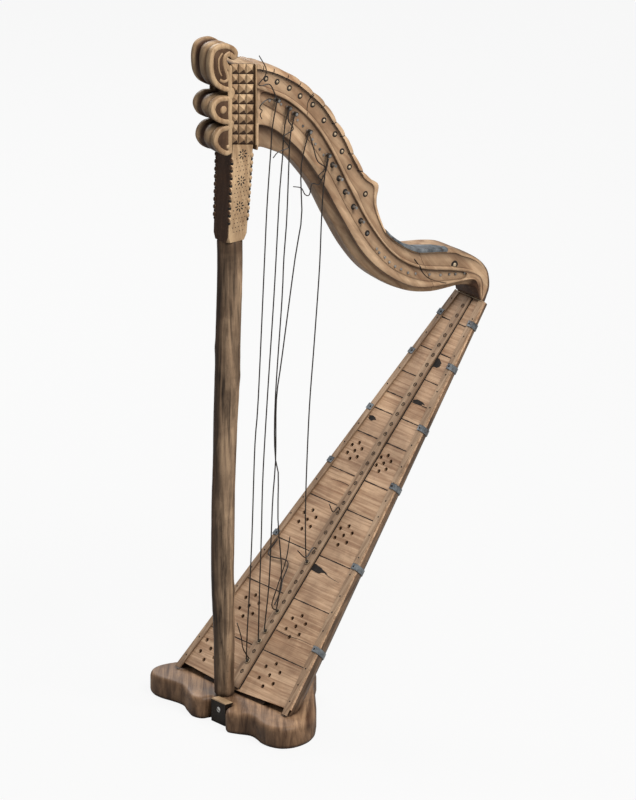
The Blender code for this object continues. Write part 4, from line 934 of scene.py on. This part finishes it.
DAMAGE = (                         # place up and across, and half of the length and width
    ((0.762, -0.015), 0.0175, 0.0105), ((0.677, -0.033), 0.0180, 0.0042), ((0.612, 0.059), 0.0130, 0.0052),
    ((0.293, -0.036), 0.0270, 0.0062),
)
BOARD_CRACKS = (
    ((0.291, -0.058), (0.2875, -0.080), (0.286, -0.105)),
    ((0.470, 0.012), (0.471, 0.040), (0.468, 0.072)),
    ((0.150, -0.020), (0.149, -0.060), (0.152, -0.098), (0.151, -0.130)),
)
BOARD_SEAMS = (0.1040, 0.2220, 0.3200, 0.4250, 0.4920, 0.5780, 0.6340, 0.6730, 0.7230, 0.7830, 0.8520)
BAND_FOOT, BAND_TOP = 0.0135, 0.9086


RIM_UP = 0.9108                    # painted highlight: a pale line along the joint under the shoulder
PEG_HOLES = (2, 4, 5, 7, 12)


def hole_height(index):
    return 0.048 + 0.840 * (index - 1) / 37


def band_half_width(up):
    return (0.031 - 0.012 * up / BOARD_LENGTH) / 2


def add_line(shape, start, end, half, into=-0.0002, steps=14):
    """A thin uneven line drawn on the soundbox between two places (across, up)."""
    start, end = Vector(start), Vector(end)
    ahead = (end - start).normalized()
    rings = []
    for k in range(steps + 1):
        spot = start.lerp(end, k / steps)
        reach = half * (1.0 + 0.5 * noise.noise(Vector((spot.x * 90, spot.y * 90, 0.5))))
        corners = ((-reach, into), (reach, into), (reach, into + 0.0004), (-reach, into + 0.0004))
        rings.append([on_box(level, spot.x - ahead.y * r, spot.y + ahead.x * r) for r, level in corners])
    add_rings(shape, rings)


def build_box_details():
    nails, holes, cracks, seams = (bmesh.new() for _ in range(4))
    turn = BOX.to_3x3()
    for side in (-1, 1):
        up = 0.032
        while up < 0.895:
            across = side * (half_width(up) - 0.0070 + chance.uniform(-0.0012, 0.0012))
            add_ball(nails, on_box(BATTEN_FRONT, across, up), (0.0008, 0.0017, 0.0017), turn, (8, 6))
            up += chance.uniform(0.034, 0.050)
        for up in (0.146, 0.327, 0.503, 0.631, 0.766, 0.860):
            place = on_box(STRAP_FRONT, side * (half_width(up) - 0.0075), up)
            add_ball(nails, place, (0.0010, 0.0020, 0.0020), turn, (8, 6))
        for up in BOARD_SEAMS:
            inner, outer = side * (band_half_width(up) + 0.0004), side * (half_width(up) - 0.0144)
            add_line(seams, (inner, up), (outer, up), 0.0010)
    # Dark lines along the string band's edges: a thin joint line on the far side, and on the near side a wider
    # painted shadow cast by the band.
    for side, half in ((-1, 0.0015), (1, 0.0006)):
        ends = [(side * (band_half_width(up) + half), up) for up in (BAND_FOOT, BAND_TOP)]
        add_line(seams, *ends, half, -0.0004, 60)
    # The broken places are near-black patches laid on the board, not cut through: painted shade of the box's
    # inside.
    for (up, across), long, wide in DAMAGE:
        ring = []
        for k in range(18):
            angle = 2 * math.pi * k / 18
            rough = 1.0 + chance.uniform(-0.22, 0.22)
            tall = wide * rough * (1 + 0.6 * math.cos(angle))
            ring.append((across + long * rough * math.cos(angle), up + tall * math.sin(angle)))
        add_rings(holes, [[on_box(into, y, z) for y, z in ring] for into in (0.0004, -0.0003)])
    for crack in BOARD_CRACKS:
        points = [on_box(-0.00005, p.y, p.x) for p in run(crack, 20)]
        add_sweep(cracks, points, 0.0006, 6, 0.4)
    rim, eyelets = bmesh.new(), bmesh.new()
    reach = half_width(RIM_UP) - 0.002
    add_line(rim, (-reach, RIM_UP), (reach, RIM_UP), 0.0009, -0.0040)
    for index in range(1, 39):
        if index not in PEG_HOLES:
            up = hole_height(index)
            turns = [2 * math.pi * k / 12 for k in range(13)]
            add_sweep(eyelets, [on_box(-0.0034, 0.0036 * math.cos(a), up + 0.0036 * math.sin(a))
                                for a in turns], 0.0007, 5)
    add_piece("box_rim", rim, "board_wood", surface=STUD)
    add_piece("band_eyelets", eyelets, "trim_wood", surface=DARK)
    add_piece("box_nails", nails, "strap_metal", surface=DARK)
    add_piece("board_holes", holes, "board_wood", surface=DARK)
    add_piece("board_cracks", cracks, "board_wood", surface=DARK)
    add_piece("board_seams", seams, "board_wood", surface=DARK)


# Strings

PIN_STARTS = ((0.091, 1.258), (0.119, 1.236), (0.134, 1.221), (0.169, 1.177), (0.216, 1.118))
PIN_TAILS = (
    ((0.088, -0.0370, 1.262), (0.082, -0.0400, 1.270), (0.067, -0.0405, 1.297), (0.048, -0.0395, 1.298),
     (0.041, -0.0390, 1.303), (0.056, -0.0400, 1.317), (0.057, -0.0410, 1.333), (0.042, -0.0390, 1.361)),
    ((0.116, -0.0380, 1.232), (0.112, -0.0410, 1.214), (0.123, -0.0420, 1.194), (0.099, -0.0405, 1.182),
     (0.112, -0.0415, 1.159), (0.088, -0.0400, 1.154), (0.076, -0.0390, 1.144)),
    ((0.166, -0.0380, 1.173), (0.172, -0.0410, 1.150), (0.183, -0.0420, 1.116), (0.203, -0.0405, 1.097),
     (0.186, -0.0410, 1.084), (0.193, -0.0400, 1.075)),
    ((0.213, -0.0380, 1.113), (0.205, -0.0410, 1.092), (0.193, -0.0420, 1.075), (0.186, -0.0410, 1.066),
     (0.171, -0.0400, 1.071), (0.164, -0.0405, 1.050), (0.153, -0.0410, 1.053), (0.144, -0.0405, 1.068),
     (0.125, -0.0400, 1.075)),
    ((0.088, -0.0380, 1.255), (0.066, -0.0410, 1.268), (0.047, -0.0420, 1.263), (0.042, -0.0410, 1.254),
     (0.048, -0.0405, 1.248), (0.043, -0.0410, 1.240), (0.047, -0.0415, 1.231)),
)
BOX_TAILS = (
    (0.075, ((0.0285, -0.004, 0.130), (0.021, -0.007, 0.158), (0.0136, -0.004, 0.187))),
    (0.185,
     ((0.0994, -0.004, 0.2034), (0.112, -0.007, 0.244), (0.134, -0.005, 0.292), (0.145, -0.003, 0.3366))),
    (0.330, ((0.200, -0.005, 0.300), (0.181, -0.007, 0.286), (0.1623, -0.005, 0.3036))),
    (0.418, ((0.262, -0.006, 0.372), (0.248, -0.008, 0.366), (0.240, -0.006, 0.384))),
)

LOOSE_STRING = ((0.193, 0.017), (0.2235, 0.0232), (0.245, 0.035), (0.282, 0.050), (0.2795, 0.108),
                (0.316, 0.110))


def build_string_ends():
    for number, (x, z) in enumerate(PIN_STARTS, start=1):
        coil = bmesh.new()
        turns, steps = 4.5, 12
        count = round(turns * steps)
        points = []
        for k in range(count + 1):
            angle = 2 * math.pi * k / steps
            points.append((x - 0.0040 * math.cos(angle), -0.0335 - 0.0060 * k / count,
                           z + 0.0040 * math.sin(angle)))
        add_sweep(coil, points, 0.0009, 6)
        add_piece(f"winding_{number}", coil, "gut", body=f"pin_{number:02d}")
    tails = bmesh.new()
    for tail in PIN_TAILS:
        add_sweep(tails, run(tail, 40), 0.0013, 6, 0.8)
    for up, rest in BOX_TAILS:
        root = on_box(-0.002, 0.0, up)
        add_sweep(tails, run([tuple(root)] + list(rest), 24), 0.0013, 6, 0.8)
    loose = run([tuple(on_box(-0.0045, across, up)) for up, across in LOOSE_STRING], 48)
    add_sweep(tails, loose, 0.0013, 6)
    add_piece("string_tails", tails, "gut")
    loops = bmesh.new()
    for up in map(hole_height, PEG_HOLES):
        turns = [2 * math.pi * k / 14 for k in range(15)]
        add_sweep(loops, [on_box(-0.0050, 0.0046 * math.cos(a), up + 0.0046 * math.sin(a)) for a in turns],
                  0.0008, 6)
    add_piece("peg_loops", loops, "gut", surface=STUD)


# Stage


def white_for_camera(tree, shader, share):
    """Mixes plain white into what the camera and glass see of a surface."""
    paths = tree.nodes.new("ShaderNodeLightPath")
    seen = tree.nodes.new("ShaderNodeMath")
    seen.operation = "MAXIMUM"
    tree.links.new(paths.outputs["Is Camera Ray"], seen.inputs[0])
    tree.links.new(paths.outputs["Is Transmission Ray"], seen.inputs[1])
    part = tree.nodes.new("ShaderNodeMath")
    part.operation = "MULTIPLY"
    part.inputs[1].default_value = share
    tree.links.new(seen.outputs[0], part.inputs[0])
    white = tree.nodes.new("ShaderNodeEmission")
    white.inputs["Color"].default_value = (1.0, 1.0, 1.0, 1.0)
    mixed = tree.nodes.new("ShaderNodeMixShader")
    tree.links.new(part.outputs[0], mixed.inputs[0])
    tree.links.new(shader, mixed.inputs[1])
    tree.links.new(white.outputs[0], mixed.inputs[2])
    return mixed.outputs[0]


def build_floor():
    shape = bmesh.new()
    bmesh.ops.create_grid(shape, x_segments=1, y_segments=1, size=40.0)
    mesh = bpy.data.meshes.new("floor")
    shape.to_mesh(mesh)
    shape.free()
    floor = bpy.data.objects.new("floor", mesh)
    floor.location = (0.0, 0.0, -0.0005)
    bpy.context.scene.collection.objects.link(floor)
    skin = Skin("floor_paper")
    skin.shader.inputs["Base Color"].default_value = (0.45, 0.45, 0.44, 1.0)
    skin.shader.inputs["Roughness"].default_value = 0.9
    output = skin.tree.nodes["Material Output"]
    skin.link(white_for_camera(skin.tree, skin.shader.outputs[0], 0.90), output.inputs["Surface"])
    mesh.materials.append(skin.material)


def build_world():
    world = bpy.data.worlds.new("studio")
    bpy.context.scene.world = world
    world.use_nodes = True
    tree = world.node_tree
    back = tree.nodes["Background"]
    back.inputs["Color"].default_value = (0.93, 0.95, 1.0, 1.0)
    back.inputs["Strength"].default_value = 0.32
    tree.links.new(white_for_camera(tree, back.outputs[0], 1.0), tree.nodes["World Output"].inputs["Surface"])


def add_light(name, place, aim, size, power, colour=(1.0, 1.0, 1.0)):
    data = bpy.data.lights.new(name, "AREA")
    data.shape = "SQUARE"
    data.size = size
    data.energy = power
    data.color = colour
    lamp = bpy.data.objects.new(name, data)
    lamp.location = place
    lamp.rotation_euler = (Vector(place) - Vector(aim)).to_track_quat("Z", "Y").to_euler()
    bpy.context.scene.collection.objects.link(lamp)


def build_camera():
    back = Vector((-0.5789, -0.7410, 0.3404))
    aim = Vector((0.2631, 0.0591, 0.5759))
    away = 45.0
    data = bpy.data.cameras.new("camera")
    data.sensor_width = 36.0
    data.lens = 36.0 * away / 1.5625
    data.clip_end = 200.0
    camera = bpy.data.objects.new("camera", data)
    camera.location = aim + back * away
    camera.rotation_euler = (-back).to_track_quat("-Z", "Y").to_euler()
    bpy.context.scene.collection.objects.link(camera)
    bpy.context.scene.camera = camera


dress_nodes()
build_slab()
build_foot_block()
build_pillar()
build_capital()
build_capital_carving()
build_head()
build_scroll()
build_neck()
build_neck_details()
build_box_details()
build_string_ends()
build_floor()
build_world()
add_light("key", (0.475, -2.70, 4.30), (0.25, 0.0, 0.7), 2.0, 225.0, (1.0, 0.98, 0.95))
add_light("fill", (-3.0, -1.2, 1.8), (0.25, 0.0, 0.7), 2.5, 4.0, (0.95, 0.97, 1.0))
add_light("back", (1.0, 3.2, 2.6), (0.25, 0.0, 0.8), 2.0, 80.0)
build_camera()
bpy.context.scene.view_settings.view_transform = "Standard"
